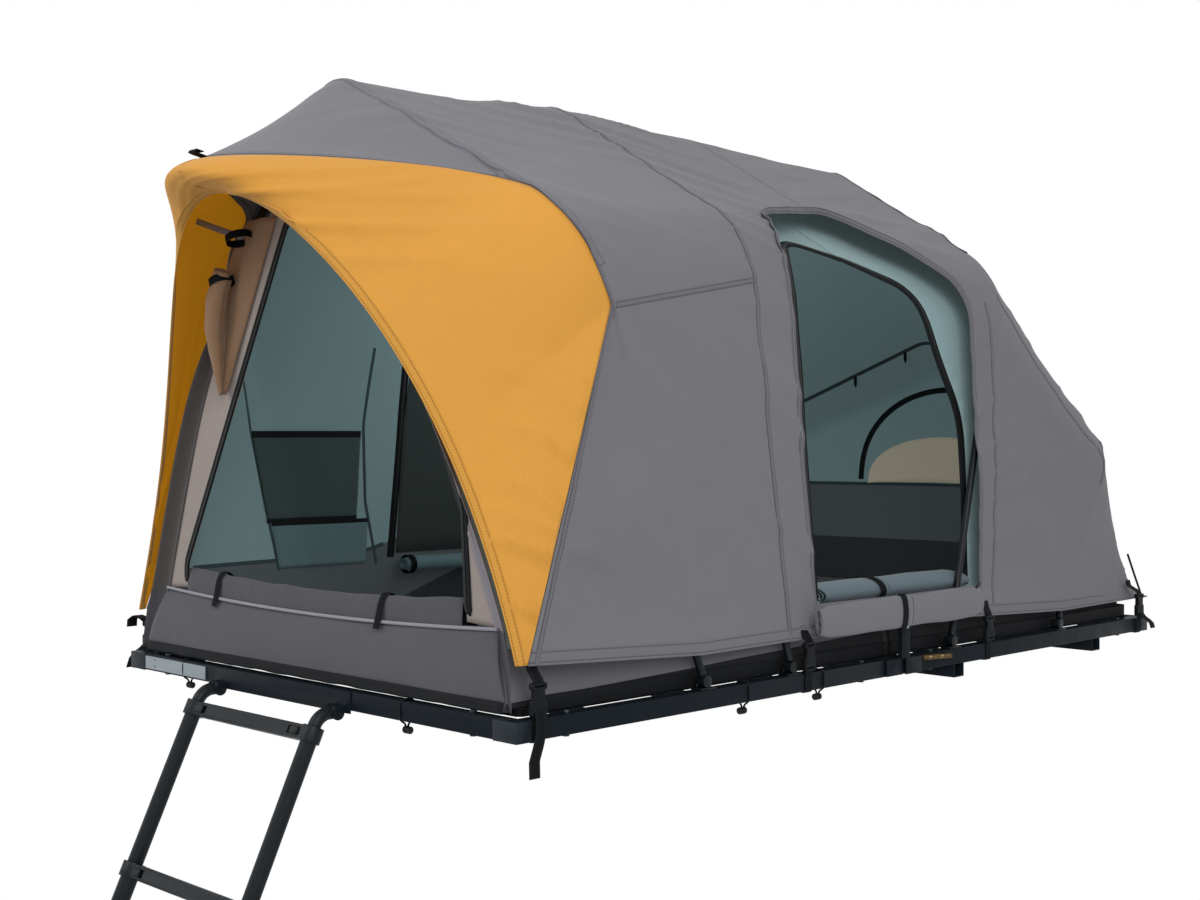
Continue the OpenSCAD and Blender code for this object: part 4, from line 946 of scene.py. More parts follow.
for col, inner in ((0, 1), (lastCol, lastCol - 1)):
    seamsFront.append(bindingPart(gridFlyFront[:, col], gridFlyFront[:, inner], surfFlyFront, *trim["hem"]))
    seamsRear.append(bindingPart(gridFlyRear[:, col], gridFlyRear[:, inner], surfFlyRear, *trim["hem"]))
seamsRear.append(bindingPart(gridFlyRear[-1], gridFlyRear[-2], surfFlyRear, *trim["hem"]))


def castPath(surface, points, direction):
    spots = [surface.ray_cast(Vector(p), Vector(direction))[0] for p in points]
    return np.array([s for s in spots if s])


def onSide(surface, outline, side):
    return castPath(surface, [(side * 1.5, y, z) for y, z in outline], (-side, 0, 0))


def splitAtHinge(outline):
    cut, seam = tent["hingeY"], tent["hingeSeam"] * 1.4
    halves = ([], [])
    for p, q in zip(outline, np.roll(outline, -1, axis=0)):
        halves[int(p[0] > cut)].append(p)
        if (p[0] - cut) * (q[0] - cut) < 0 and abs(q[0] - p[0]) < 0.05:
            side = 1 if p[0] < cut else -1
            z = p[1] + (q[1] - p[1]) * (cut - p[0]) / (q[0] - p[0])
            halves[int(p[0] > cut)].append(np.array((cut - side * seam, z)))
            halves[int(q[0] > cut)].append(np.array((cut + side * seam, z)))
    return np.array(halves[0]), np.array(halves[1])


def runs(points, gap=0.05):
    jump = np.nonzero(np.linalg.norm(np.diff(points, axis=0), axis=1) > gap)[0] + 1
    return [r for r in np.split(points, jump) if len(r) > 2]


# bound edge of the open side door, and the closed door on the far side
doorCentre = np.array((0, tent["frontY"] + 1.16, tent["railZ"] + 0.60))
for surface, seams, piece in ((surfFlyFront, seamsFront, 0), (surfFlyRear, seamsRear, 1)):
    for run in runs(splitAtHinge(flyOutline)[piece]):
        path = onSide(surface, run, 1)
        inward = path + unit((path - doorCentre) * (0, 1, 1)) * 0.01
        seams.append(bindingPart(path, inward, surface, *trim["bound"]))
        seams.append(ribbonPart(onSide(surface, run, -1), surface, *trim["closed"]))
stripLine = np.array(((1.515, 0.10), (1.535, 0.25), (1.546, 0.45), (1.552, 0.66), (1.545, 0.84)))
stripPath = onSide(surfFlyRear, resample(stripLine + (tent["frontY"], tent["railZ"]), 0.02), 1)
seamsRear.append(ribbonPart(stripPath, surfFlyRear, *trim["strip"]))
flapArch = [at(0.25 * math.cos(a), 4.0, 0.30 + 0.30 * math.sin(a) ** 0.8)
            for a in np.linspace(0, math.pi, 50)]
seamsRear.append(ribbonPart(castPath(surfFlyRear, flapArch, (0, -1, 0)), surfFlyRear, *trim["flap"]))
gather("flySeamsFront", seamsFront, ["flySeam", "flyHem", "flySleeve"], front, "fly_fabric", True)
gather("flySeamsRear", seamsRear, ["flySeam", "flyHem", "flySleeve"], rear, "fly_fabric", True)
print("fly seams built")

# inner tent: cotton shells with a darker lower wall
innerSet = {"frontCounts": (20, 16, 20), "rearCounts": (14, 26, 28), "lowFront": 0.224, "lowRear": 0.374}
gridInnerFront = panels([innerLip, innerA, innerB, innerFoldFront], innerSet["frontCounts"],
                        (0.010, 0.008, 0.006), 0.004, 21.0)
gridInnerRear = panels([innerFoldRear, innerC, innerD, innerTail], innerSet["rearCounts"],
                       (0.006, 0.008, 0.006), 0.004, 27.0)
surfInnerFront, surfInnerRear = surfaceOf(gridInnerFront), surfaceOf(gridInnerRear)
zipOutline = doorOutline("zip")


def lowTop(along):
    return mix(innerSet["lowFront"], innerSet["lowRear"], smooth(np.clip((along - 0.5) / 0.6, 0, 1)))


for name, grid, surface, body, node in (
        ("innerFront", gridInnerFront, surfInnerFront, front, "inner_front_shell"),
        ("innerRear", gridInnerRear, surfInnerRear, rear, "inner_rear_shell")):
    cut, keep = cutDoor(grid, zipOutline, surface, 1)
    up = cut[..., 2] - tent["railZ"]
    along = cut[..., 1] - tent["frontY"]
    heights = {"up": up, "rise": up - lowTop(along), "skirt": up - 0.060 - 0.031 * along}
    sheetPiece(name, cut, ["inner", "innerLining"], body, "inner_fabric",
               (2.7, "hung", ["hoop_b" if body == front else "hoop_c"]), node, keep=keep, thick=0.0010,
               heights=heights)

# front wall with its pointed door, and the panel under the sill
wallSet = {"columns": 161, "sag": 0.016, "belly": 0.010, "zipOff": 0.008}
doorEdge = cornered(frontDoor, 0.006)


def outset(path, amount):
    t = unit(np.gradient(path, axis=0))
    return path + np.stack([t[:, 1], -t[:, 0]], 1) * amount


def bellied(grid, amount, seed):
    out = grid.copy()
    for i, row in enumerate(grid):
        for j, p in enumerate(row):
            out[i, j, 1] += amount * wobble(p[0] * 5 + seed, p[2] * 4, seed)
    return out


wallOuter = evenly(wallArch(400, math.acos(foldX / wallX)), wallSet["columns"])
wallInner = evenly(onWall(doorEdge[:, 0], doorEdge[:, 1]), wallSet["columns"])
gridWall = np.array([mix(wallInner, wallOuter, t) for t in np.linspace(0, 1, 11)])
doorMiddle = np.array((0, 0.45))
tight = doorMiddle + (doorEdge - doorMiddle) * 0.8
wallDeep = evenly(onWall(tight[:, 0], tight[:, 1]), wallSet["columns"])
surfWall = surfaceOf(np.array([mix(wallDeep, wallOuter, t) for t in np.linspace(0, 1, 11)]))
sheetPiece("frontWall", bellied(gridWall, 0.004, 31.0), ["wall"], front, "wall_fabric",
           (1.2, "hung", ["inner_front_shell"]), "inner_front_wall", thick=0.0012)


def wallHalf(up):
    return wallX * (1 - (up - innerFootZ) / (tent["wallTop"] - innerFootZ)) ** (1 / tent["wallPower"])


def sillUp(x):
    return tent["foldH"] - wallSet["sag"] * (1 - (x / foldX) ** 2)


lowerX = np.linspace(-1, 1, 81)
lowerTop = onWall(lowerX * foldX, sillUp(lowerX * foldX))
lowerFoot = onWall(lowerX * wallX, innerFootZ)
lowerGrid = np.array([mix(lowerTop, lowerFoot, t) - (0, wallSet["belly"] * math.sin(math.pi * t), 0)
                      for t in np.linspace(0, 1, 10)])
sheetPiece("frontWallLower", bellied(lowerGrid, 0.005, 37.0), ["lowerPanel"], front, "wall_fabric",
           (1.19, "hung", ["inner_front_shell"]), thick=0.0012)
piping = tubePart(evenly(lowerTop, 90) + (0, -0.0035, 0), 0.0034, 8)
gather("frontSillPiping", [piping], ["flyPiping"], front, "fly_fabric", True)

# gussets from the wall's sides to the awning's feet
# the left gusset takes the darker finish: painted shade
gussetSet = {"Right": ("gusset", 0.64, 0.62), "Left": ("gussetPaintedShade", 0.82, 0.66), "lap": 0.008,
             "foot": 0.046, "belly": 0.010}
archHalf = rowArch[:halfCount]
for side, word in ((1, "Right"), (-1, "Left")):
    gusset = []
    cloak, gussetTop, reach = gussetSet[word]
    for up in np.linspace(gussetSet["foot"], gussetTop, 44):
        low = np.clip((up - innerFootZ) / (tent["foldH"] - innerFootZ), 0, 1)
        x = mix(wallX, foldX, low) if up < tent["foldH"] else wallHalf(up)
        edge = onWall(x - gussetSet["lap"], up, -0.0012)
        z = tent["railZ"] + max(up, tent["hemFront"])
        foot = np.array([np.interp(z, archHalf[:, 2], archHalf[:, k]) for k in range(3)])
        foot[2] = tent["railZ"] + up
        far = mix(edge, foot, reach * (1 - (up / gussetTop) ** 4))
        line = [mix(edge, far, t) + (0, gussetSet["belly"] * math.sin(math.pi * t), 0)
                for t in np.linspace(0, 1, 12)]
        gusset.append(np.array(line) * (side, 1, 1))
    gusset = np.array(gusset)[:, ::side]
    sheetPiece("frontGusset" + word, gusset, [cloak], front, "wall_fabric",
               (0.6, "hung", ["inner_front_wall"]), thick=0.0010,
               heights={"up": gusset[..., 2] - tent["railZ"]})

zipLine = outset(doorEdge, wallSet["zipOff"])
coilLine = outset(doorEdge, 0.003)
zipParts = [
    ribbonPart(onWall(zipLine[:, 0], zipLine[:, 1]), surfWall, *trim["doorTape"]),
    ribbonPart(onWall(coilLine[:, 0], coilLine[:, 1]), surfWall, *trim["doorCoil"]),
]
gather("frontDoorZip", zipParts, ["zipTape", "zipCoil"], front, "webbing", True)

# lowered part of the front door, folded over the sill and tied twice
sillSet = {"x": (0.462, -0.476), "top": 0.216, "rise": 0.018, "ties": (-0.347, 0.225)}


def sillTop(x):
    return sillSet["top"] + sillSet["rise"] * (x / 0.47) ** 2


sillGrid = []
for x in np.linspace(*sillSet["x"], 60):
    top = sillTop(x) + 0.003 * wobble(x * 14, 3, 1)
    low = sillUp(x)
    profile = [(0.0375, low - 0.010), (0.0385, low + 0.015), (0.041, top - 0.010), (0.047, top - 0.002),
               (0.055, top), (0.064, top - 0.006), (0.072, top - 0.022), (0.076, low)]
    wave = 0.003 * wobble(x * 9, 7, 2)
    rounded = resample(np.array(profile), 0.006)
    sillGrid.append([at(x, d - 0.001 + wave * (i > 1), up) for i, (d, up) in enumerate(rounded)])
sillGrid = np.array([evenly(np.array(r), 22) for r in sillGrid]).transpose(1, 0, 2)
sheetPiece("frontDoorFold", sillGrid, ["sillCloth"], front, "wall_fabric",
           (0.94, "folded", ["inner_front_wall"]), thick=0.0012)
tieParts = []
for x in sillSet["ties"]:
    top = sillTop(x)
    path = [at(x, d, up) for d, up in ((0.080, 0.190), (0.074, top - 0.010), (0.058, top + 0.004),
                                       (0.044, top + 0.001), (0.036, top - 0.016), (0.032, 0.186),
                                       (0.024, 0.158))]
    tieParts.append(strapPart(path, (1, 0, 0), 0.018, 0.0018, step=0.005))
gather("frontDoorTies", tieParts, ["webbing"], front, "webbing", True)

# raised part of the front door: a panel laid back over the left jamb and its rolled edge
backSet = {"up": (0.962, 0.610), "inner": 0.034, "outer": 0.012, "stand": 0.010, "spread": 0.055}


def doorHalf(up):
    return np.interp(up, (frontDoor[-2][1], frontDoor[-3][1]), (-frontDoor[-1][0], 0))


backGrid = []
for share, up in zip(np.arange(30) / 29, np.linspace(*backSet["up"], 30)):
    near = doorHalf(up) + backSet["inner"]
    far = wallHalf(up) + backSet["outer"] + backSet["spread"] * (1 - share)
    far = mix(far, near + 0.004, share ** 3)
    row = []
    for t in np.linspace(0, 1, 16):
        lift = backSet["stand"] * math.sin(math.pi * min(t * 1.4, 1))
        lift += 0.003 * wobble(t * 4, up * 12, 9)
        row.append(at(-mix(near, far, t), float(wallAlong(up)) - 0.004 - lift, up))
    backGrid.append(row)
sheetPiece("frontDoorBack", np.array(backGrid), ["wallPanel"], front, "wall_fabric",
           (0.36, "folded", ["inner_front_wall"]), thick=0.0012)

backRoll = {
    "path": ((-0.216, -0.028, 0.862), (-0.238, -0.032, 0.804), (-0.257, -0.026, 0.743),
             (-0.268, -0.012, 0.671), (-0.276, 0.000, 0.609)),
    "radius": (0.021, 0.024, 0.021, 0.013, 0.004), "turns": 1.6,
    "holdAt": (-0.166, -0.024, 0.925), "holdSize": 0.027,
    "stay": ((-0.240, -0.044, 0.954), (-0.200, -0.034, 0.940), (-0.160, -0.018, 0.928)),
}


def coneRoll(path, radius, turns, n=36, around=34):
    spots = evenly(path, n)
    for _ in range(6):
        spots[1:-1] = (spots[:-2] + 2 * spots[1:-1] + spots[2:]) / 4
    size = np.interp(np.linspace(0, 1, n), np.linspace(0, 1, len(radius)), radius)
    t = unit(np.gradient(spots, axis=0))
    u = unit(np.cross(t, (0, 1.0, 0)))
    w = np.cross(t, u)
    angle = np.linspace(0, turns * 2 * math.pi, around)
    grid = []
    for i in range(n):
        r = size[i] * (1 - 0.30 * angle / angle[-1]) * (1 + 0.03 * math.sin(i * 0.9))
        grid.append(spots[i] + (np.cos(angle) * r)[:, None] * u[i] + (np.sin(angle) * r)[:, None] * w[i])
    return np.array(grid), spots


rollPath = [at(*p) for p in backRoll["path"]]
backRollGrid, backSpots = coneRoll(rollPath, backRoll["radius"], backRoll["turns"])
sheetPiece("frontDoorRoll", backRollGrid, ["wallPanel"], front, "wall_fabric",
           (0.40, "folded", ["inner_front_wall"]), thick=0.0010)
holds = ((backSpots[3], backRoll["radius"][0] + 0.004), (at(*backRoll["holdAt"]), backRoll["holdSize"]))
holdParts = []
for ringMiddle, size in holds:
    angle = np.linspace(0, 2 * math.pi, 26)
    ring = [ringMiddle + (math.cos(a) * size, math.sin(a) * size, 0.35 * math.cos(a) * size) for a in angle]
    holdParts.append(strapPart(ring, (0.35, 0, -0.94), 0.016, 0.0014, 0, step=0.005))
gather("frontDoorLoops", holdParts, ["webbing"], front, "webbing", True)
webPath = [at(*p) for p in backRoll["stay"]]
stayWay = unit(webPath[0] - webPath[1])
stayHit = surfAwning.ray_cast(Vector(webPath[0]), Vector(stayWay))[0]
webPath.insert(0, np.array(stayHit) - 0.003 * stayWay)
stay = strapPart(webPath, unit(np.array((0.2, 0.3, 0.93))), 0.013, 0.0015)
gather("awningStay", [stay], ["greyWeb"], front, "webbing", True)

# zips on the inner tent: the open side door, the door opposite and the rear window
zipFront, zipRear = [], []
for surface, parts, piece in ((surfInnerFront, zipFront, 0), (surfInnerRear, zipRear, 1)):
    for run in runs(splitAtHinge(zipOutline)[piece]):
        path = onSide(surface, run, 1)
        parts.append(ribbonPart(path, surface, *trim["tape"]))
        parts.append(ribbonPart(path, surface, *trim["coil"]))


def leftWall(surface, line):
    return castPath(surface, [at(0, d, up) for d, up in line], (-1, 0, 0))


farDoor = {"front": [(0.684, 0.215), (0.704, 0.800, 0.120), (1.122, 0.835)],
           "rear": [(1.138, 0.835), (1.335, 0.790, 0.120), (1.450, 0.520, 0.200), (1.446, 0.215)]}
for surface, parts, key in ((surfInnerFront, zipFront, "front"), (surfInnerRear, zipRear, "rear")):
    path = leftWall(surface, cornered(farDoor[key], 0.012))
    parts.append(ribbonPart(path, surface, *trim["farTape"], side=-1))
    parts.append(ribbonPart(path, surface, *trim["farCoil"], side=-1))
wallSeams = ([(0.355, 0.20), (0.325, 0.31), (0.262, 0.53), (0.235, 0.66)],
             [(0.640, 0.20), (0.596, 0.36), (0.580, 0.55), (0.604, 0.74)])
seamFront, seamRear = [], []
for line in wallSeams:
    path = leftWall(surfInnerFront, resample(np.array(line), 0.02))
    seamFront.append(ribbonPart(path, surfInnerFront, *trim["wallSeam"], side=-1))
for surface, parts, span in ((surfInnerFront, seamFront, (0.10, 0.660)),
                             (surfInnerRear, seamRear, (1.47, 2.00))):
    line = [(d, float(lowTop(d))) for d in np.linspace(*span, 40)]
    parts.append(ribbonPart(leftWall(surface, line), surface, *trim["lowSeam"], side=-1))


def rearWall(points):
    return castPath(surfInnerRear, [at(x, 1.7, up) for x, up in points], (0, 1, 0))


rearLine = rearWall([(x, innerSet["lowRear"]) for x in np.linspace(0.46, -0.46, 40)])
seamRear.append(ribbonPart(rearLine, surfInnerRear, *trim["lowSeam"], side=-1))
ceilingRow = innerSet["rearCounts"][0] + round(0.8 * innerSet["rearCounts"][1])
ceiling = gridInnerRear[ceilingRow, shoulder + 4:lastCol - shoulder - 3]
seamRear.append(ribbonPart(ceiling, surfInnerRear, *trim["ceilingSeam"], side=-1))
windowSet = {"half": 0.25, "low": 0.375, "top": 0.655, "panel": 0.50}
angles = np.linspace(0, math.pi, 60)


def windowSpot(a, share, wide=1.0):
    up = windowSet["low"] + share * (windowSet["top"] - windowSet["low"]) * max(math.sin(a), 0.02) ** 0.8
    return windowSet["half"] * wide * math.cos(a), up


windowPath = rearWall([windowSpot(a, 1.0) for a in angles])
zipRear.append(ribbonPart(windowPath, surfInnerRear, *trim["windowTape"], side=-1))
gather("innerZipsFront", zipFront + seamFront, ["zipTape", "zipCoil", "innerSeam"], front, "webbing", True)
gather("innerZipsRear", zipRear + seamRear, ["zipTape", "zipCoil", "innerSeam"], rear, "webbing", True)
windowGrid = []
for k in np.linspace(0.02, windowSet["panel"], 10):
    windowGrid.append(rearWall([windowSpot(a, k, 0.9) for a in angles]) - (0, 0.004, 0))
sheetPiece("rearWindow", np.array(windowGrid), ["window"], rear, "wall_fabric",
           (0.5, "hung", ["inner_rear_shell"]), thick=0.001)
print("inner tent built")


# net of the far door, and pockets on the left wall
def wallPatch(name, surface, alongs, lows, tops, belly, mats, body, lean=0.0, n=14):
    grid = []
    slide = lean * (alongs[-1] - alongs) / (alongs[-1] - alongs[0])
    lows, tops = np.broadcast_to(lows, alongs.shape), np.broadcast_to(tops, alongs.shape)
    for t in np.linspace(0, 1, n):
        spots = zip(alongs + slide * (1 - t), lows, tops)
        line = leftWall(surface, [(d, mix(a, b, t)) for d, a, b in spots])
        swell = belly * np.sin(np.linspace(0, math.pi, len(alongs))) * (0.25 + 0.75 * t)
        grid.append(line + np.stack([swell + 0.003, 0 * swell, 0 * swell], 1))
    grid = np.array(grid)
    carrier = "inner_front_shell" if body == front else "inner_rear_shell"
    sheetPiece(name, grid, mats, body, "inner_fabric", (0.32, "hung", [carrier]), thick=0.0008)
    return grid


netSet = {
    "foot": 0.225,
    "frontTop": ((0.700, 0.715, 0.76, 0.84, 1.122), (0.55, 0.68, 0.77, 0.81, 0.83)),
    "rearTop": ((1.138, 1.28, 1.37, 1.41, 1.438), (0.825, 0.79, 0.69, 0.58, 0.45)),
}
for name, surface, key, n, body in (("farDoorNetFront", surfInnerFront, "frontTop", 30, front),
                                    ("farDoorNetRear", surfInnerRear, "rearTop", 24, rear)):
    alongs, tops = netSet[key]
    netAlong = np.linspace(alongs[0], alongs[-1], n)
    netTop = np.interp(netAlong, alongs, tops)
    wallPatch(name, surface, netAlong, netSet["foot"], netTop, 0.0, ["darkNet"], body)
pocketGrid = wallPatch("netPocket", surfInnerFront, np.linspace(0.266, 0.572, 24), 0.32, 0.526, 0.018,
                       ["mesh"], front, 0.050)
lowPocket = wallPatch("lowerPocket", surfInnerFront, np.linspace(0.330, 0.605, 20), 0.205, 0.312, 0.012,
                      ["pocket"], front, 0.024)
pocketEdges = []
for grid, row, width in ((pocketGrid, -1, 0.016), (pocketGrid, 0, 0.010), (lowPocket, -1, 0.010)):
    pocketEdges.append(ribbonPart(grid[row], surfaceOf(grid), width, 0.001, 0))
gather("pocketEdges", pocketEdges, ["zipTape"], front, "webbing", True)

# hoops: smooth tubes on the pole feet
hoopSet = {"radius": 0.008, "sleeveGap": 0.007, "barrel": 0.012, "footPlate": 0.004}
for k, name in enumerate(("hoop_a", "hoop_b", "hoop_c", "hoop_d")):
    body = front if k < 2 else rear
    lean = tent["hoopLean"][k]
    slope = math.hypot(1, lean)
    inset = (tent["flyT"] + hoopSet["radius"] + hoopSet["sleeveGap"]) * slope
    barrelUp = tent["railH"] + hoopSet["footPlate"] + hoopSet["barrel"]
    footAlong = tent["hoopFoot"][k] + lean * (barrelUp - tent["railH"])
    start = at(tent["sideX"] - tent["railW"] / 2, footAlong, barrelUp)
    start = start + (hoopSet["barrel"] + 0.001 * slope * slope) * np.array((0, lean, 1)) / slope
    half = hoopHalf(k, tent["hemX"][k] - inset, tent["hemSide"], inset)
    half[0] = start
    tube = tubePart(whole(half), hoopSet["radius"], 14)
    gather("hoop" + "ABCD"[k], [tube], ["pole"], body, "pole_metal", True, name)
print("hoops built")

# bed: crowned mattress halves and the coated tub
bedSet = {"x": 0.587, "front": 0.064, "thick": 0.044, "crown": 0.008, "round": 0.014, "gap": 0.002,
          "rear": 0.0637, "lift": 0.0026, "rows": 46, "columns": 60, "edge": 0.02}


def mattress(name, y0, y1, body, node):
    x1, thick, crown, r = (bedSet[k] for k in ("x", "thick", "crown", "round"))
    z0 = tent["railZ"] + tent["railH"] + bedSet["lift"]
    turn = np.linspace(0.15, math.pi / 2, 6)
    ends = r * (1 - np.cos(turn))
    narrow = r * (1 - np.sin(turn))
    inner = np.linspace(y0 + r + bedSet["edge"], y1 - r - bedSet["edge"], bedSet["rows"])
    ys = np.concatenate([y0 + ends, inner, (y1 - ends)[::-1]])
    insets = np.concatenate([narrow, np.zeros(len(inner)), narrow[::-1]])
    top = np.linspace(x1 - r, -x1 + r, bedSet["columns"])
    corner = np.linspace(0.2, math.pi / 2 - 0.2, 4)
    left = [(-x1 + r - r * math.sin(a), z0 + thick - r + r * math.cos(a)) for a in corner]
    left += [(-x1 + r - r * math.cos(a), z0 + r - r * math.sin(a)) for a in corner]
    low = [(x, z0) for x in top[::-1][::3]]
    right = [(-x, z) for x, z in left[::-1]]
    rings, uv = [], []
    for y, inset in zip(ys, insets):
        v = (y - y0) / (y1 - y0)
        swell = 1 - (2 * v - 1) ** 4
        crest = []
        for x in top:
            rise = crown * swell * (1 - (x / x1) ** 4)
            crest.append((x, z0 + thick + rise + 0.0015 * wobble(x * 6, y * 6, 5)))
        xz = np.array(crest + left + low + right)
        middleZ = z0 + thick / 2
        xz[:, 0] *= 1 - (0.006 * swell + inset) / x1
        xz[:, 1] = middleZ + (xz[:, 1] - middleZ) * (1 - inset / (thick / 2) * 0.9)
        rings.append(np.stack([xz[:, 0], np.full(len(xz), y), xz[:, 1]], 1))
        uv.append(np.stack([xz[:, 0], np.full(len(xz), y)], 1))
    obj = gather(name, [ringsPart(rings, uv)], ["mattress"], body, "mattress_cover", False, node)


mattress("frontMattress", tent["frontY"] + bedSet["front"], tent["hingeY"] - bedSet["gap"], front,
         "front_mattress")
mattress("rearMattress", tent["hingeY"] + bedSet["gap"], tent["rearY"] - bedSet["rear"], rear,
         "rear_mattress")
tubSet = {"wall": 0.0315, "frontWall": 0.0145, "round": 0.010, "edge": 0.002, "frontEnd": 0.039,
          "rearEnd": 0.0397}


def tub(name, yHinge, yEnd, endUp, body, half):
    z0 = tent["railZ"] + tent["railH"] + 0.0005
    x1, wall, r = tent["innerFootX"] - 0.001, tubSet["wall"], tubSet["round"]
    sign = 1 if yEnd > yHinge else -1
    corner = [(x1 - r + r * math.sin(a), yEnd - sign * (r - r * math.cos(a)))
              for a in np.linspace(0, math.pi / 2, 6)]
    outline = np.array([(x1, yHinge)] + corner[::-1] + [(-x, y) for x, y in corner] + [(-x1, yHinge)])
    outline = resample(outline, 0.012)
    inward = outline * 0.95 + np.array((0, yHinge * 0.05))
    high = np.where(np.abs(outline[:, 1] - yEnd) < 0.024, endUp, wall)
    rows = [np.column_stack([inward, np.full(len(outline), z0)])]
    for t in np.linspace(0, 1, 7):
        ripple = np.array([0.0012 * wobble(x * 14, y * 14, t) for x, y in outline])
        rows.append(np.column_stack([outline * (1 - np.abs(ripple)[:, None]), z0 + 0.0002 + high * t]))
    grid = np.array(rows)
    if sign < 0:
        grid = grid[:, ::-1]
    sheetPiece(name, grid, ["tub"], body, "tub_sheet", (0.2, "stretched", [half + "_side_rails"]),
               half + "_tub", False, thick=0.0012)
    yNear = yEnd - sign * tubSet["edge"]
    ys = np.linspace(min(yHinge, yNear), max(yHinge, yNear), 30)
    xs = np.linspace(x1 - tubSet["edge"], -x1 + tubSet["edge"], 30)
    floor = np.array([[(x, y, z0 + 0.0013 + 0.0002 * wobble(x * 9, y * 9, 2)) for x in xs]
                      for y in ys])
    sheetPiece(name + "Floor", floor, ["tub"], body, "tub_sheet", (1.196, "laid", [half + "_slats"]),
               None, False, thick=0.0010)


tub("frontTub", tent["hingeY"] - tubSet["edge"], tent["frontY"] + tubSet["frontEnd"], tubSet["frontWall"],
    front, "front")
tub("rearTub", tent["hingeY"] + tubSet["edge"], tent["rearY"] - tubSet["rearEnd"], tubSet["wall"],
    rear, "rear")

# dark strip under the front panel, down to just over the rail
apronSet = {"x": 0.604, "along": 0.0105, "slant": 0.003, "top": 0.064, "foot": 0.043}
apron = []
for t in np.linspace(0, 1, 6):
    row = []
    for x in np.linspace(-apronSet["x"], apronSet["x"], 70):
        along = apronSet["along"] - apronSet["slant"] * t + 0.0015 * wobble(x * 11, t * 2, 4)
        foot = apronSet["foot"] + 0.0025 * wobble(x * 17, 1, 6)
        row.append(at(x, along, mix(apronSet["top"], foot, t)))
    apron.append(row)
sheetPiece("frontApron", np.array(apron), ["tub"], front, "tub_sheet", (1.21, "hung", ["inner_front_wall"]),
           thick=0.0010)
print("bed built")


# rolled and folded door panels on the sills, in two runs that part at the hinge
def rollGrid(y0, y1, end, centre, size, turns, seed):
    angle = np.linspace(0, turns * 2 * math.pi, int(turns * 26))
    share = 0.30 + 0.70 * angle / angle[-1]
    grid = []
    for y in np.linspace(y0, y1, 30):
        swell = 1 + 0.08 * wobble(y * 9, seed, 0)
        swell *= min(1.0, 0.72 + abs(y - end) / 0.10)
        drift = 0.002 * wobble(y * 6, seed, 4)
        grid.append(np.stack([centre[0] + size[0] * share * np.cos(angle), np.full(len(angle), y),
                              centre[1] + drift + size[1] * swell * share * np.sin(angle)], 1))
    return np.array(grid)[:, ::-1]


rollSet = {
    "side": {"along": (0.806, 1.412), "centre": (0.6720, 0.169), "size": (0.0095, 0.0370), "mat": "fly",
             "slot": "fly_fabric", "ties": (1.098,)},
    "inner": {"along": (0.902, 1.448), "centre": (0.574, 0.213), "size": (0.048, 0.025), "mat": "innerFold",
              "slot": "inner_fabric", "ties": (1.101,)},
    "far": {"along": (0.706, 1.444), "centre": (-0.566, 0.226), "size": (0.022, 0.020), "mat": "pocket",
            "slot": "inner_fabric", "ties": (0.722, 1.30)},
}
rollTurns = 3.5
tieRoom = (0.0026, 0.0032)
hinge = tent["hingeY"] - tent["frontY"]
for key, s in rollSet.items():
    outer = key == "side"
    for word, body, d0, d1 in (("Front", front, s["along"][0], hinge - 0.001),
                               ("Rear", rear, hinge + 0.001, s["along"][1])):
        y0, y1 = tent["frontY"] + d0, tent["frontY"] + d1
        grid = rollGrid(y0, y1, y0 if body == front else y1, s["centre"], s["size"], rollTurns, 3.0)
        sheetPiece(key + "DoorRoll" + word, grid, [s["mat"]], body, s["slot"],
                   (round(d1 - d0, 3), "folded", ["fly_rear" if outer else "inner_rear_shell"]),
                   "side_door_roll" if outer else None, thick=0.0009)
    reachX, reachZ = s["size"][0] + tieRoom[0], s["size"][1] + tieRoom[1]
    for k, along in enumerate(s["ties"]):
        ring = [np.array((s["centre"][0] + reachX * math.cos(a), tent["frontY"] + along,
                          s["centre"][1] + reachZ * math.sin(a))) for a in np.linspace(0, 2 * math.pi, 30)]
        tie = strapPart(ring, (0, 1, 0), 0.018, 0.0014, step=0.004)
        body = front if along < hinge else rear
        gather("%sDoorTie%d" % (key, k + 1), [tie], ["webbing"], body, "webbing", True)
print("door rolls built")


def bevelled(obj, width, angle=None):
    bevel = obj.modifiers.new("edge", "BEVEL")
    bevel.width = width
    bevel.segments = 2
    bevel.limit_method = "ANGLE"
    if angle:
        bevel.angle_limit = math.radians(angle)
    return applyAll(obj)


# hard pieces carried over from the frame with softened edges
def softened(node, name, width, mat, body, slot):
    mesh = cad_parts[node].data.copy()
    obj = linked(name, mesh)
    reworked(mesh, mergeFlats)
    mesh.materials.clear()
    mesh.materials.append(finish[mat])
    bevelled(obj, width, creases["bevel"])
    bpy.ops.object.shade_smooth_by_angle(angle=math.radians(creases["hard"]))
    return place(obj, body, slot, False, node)


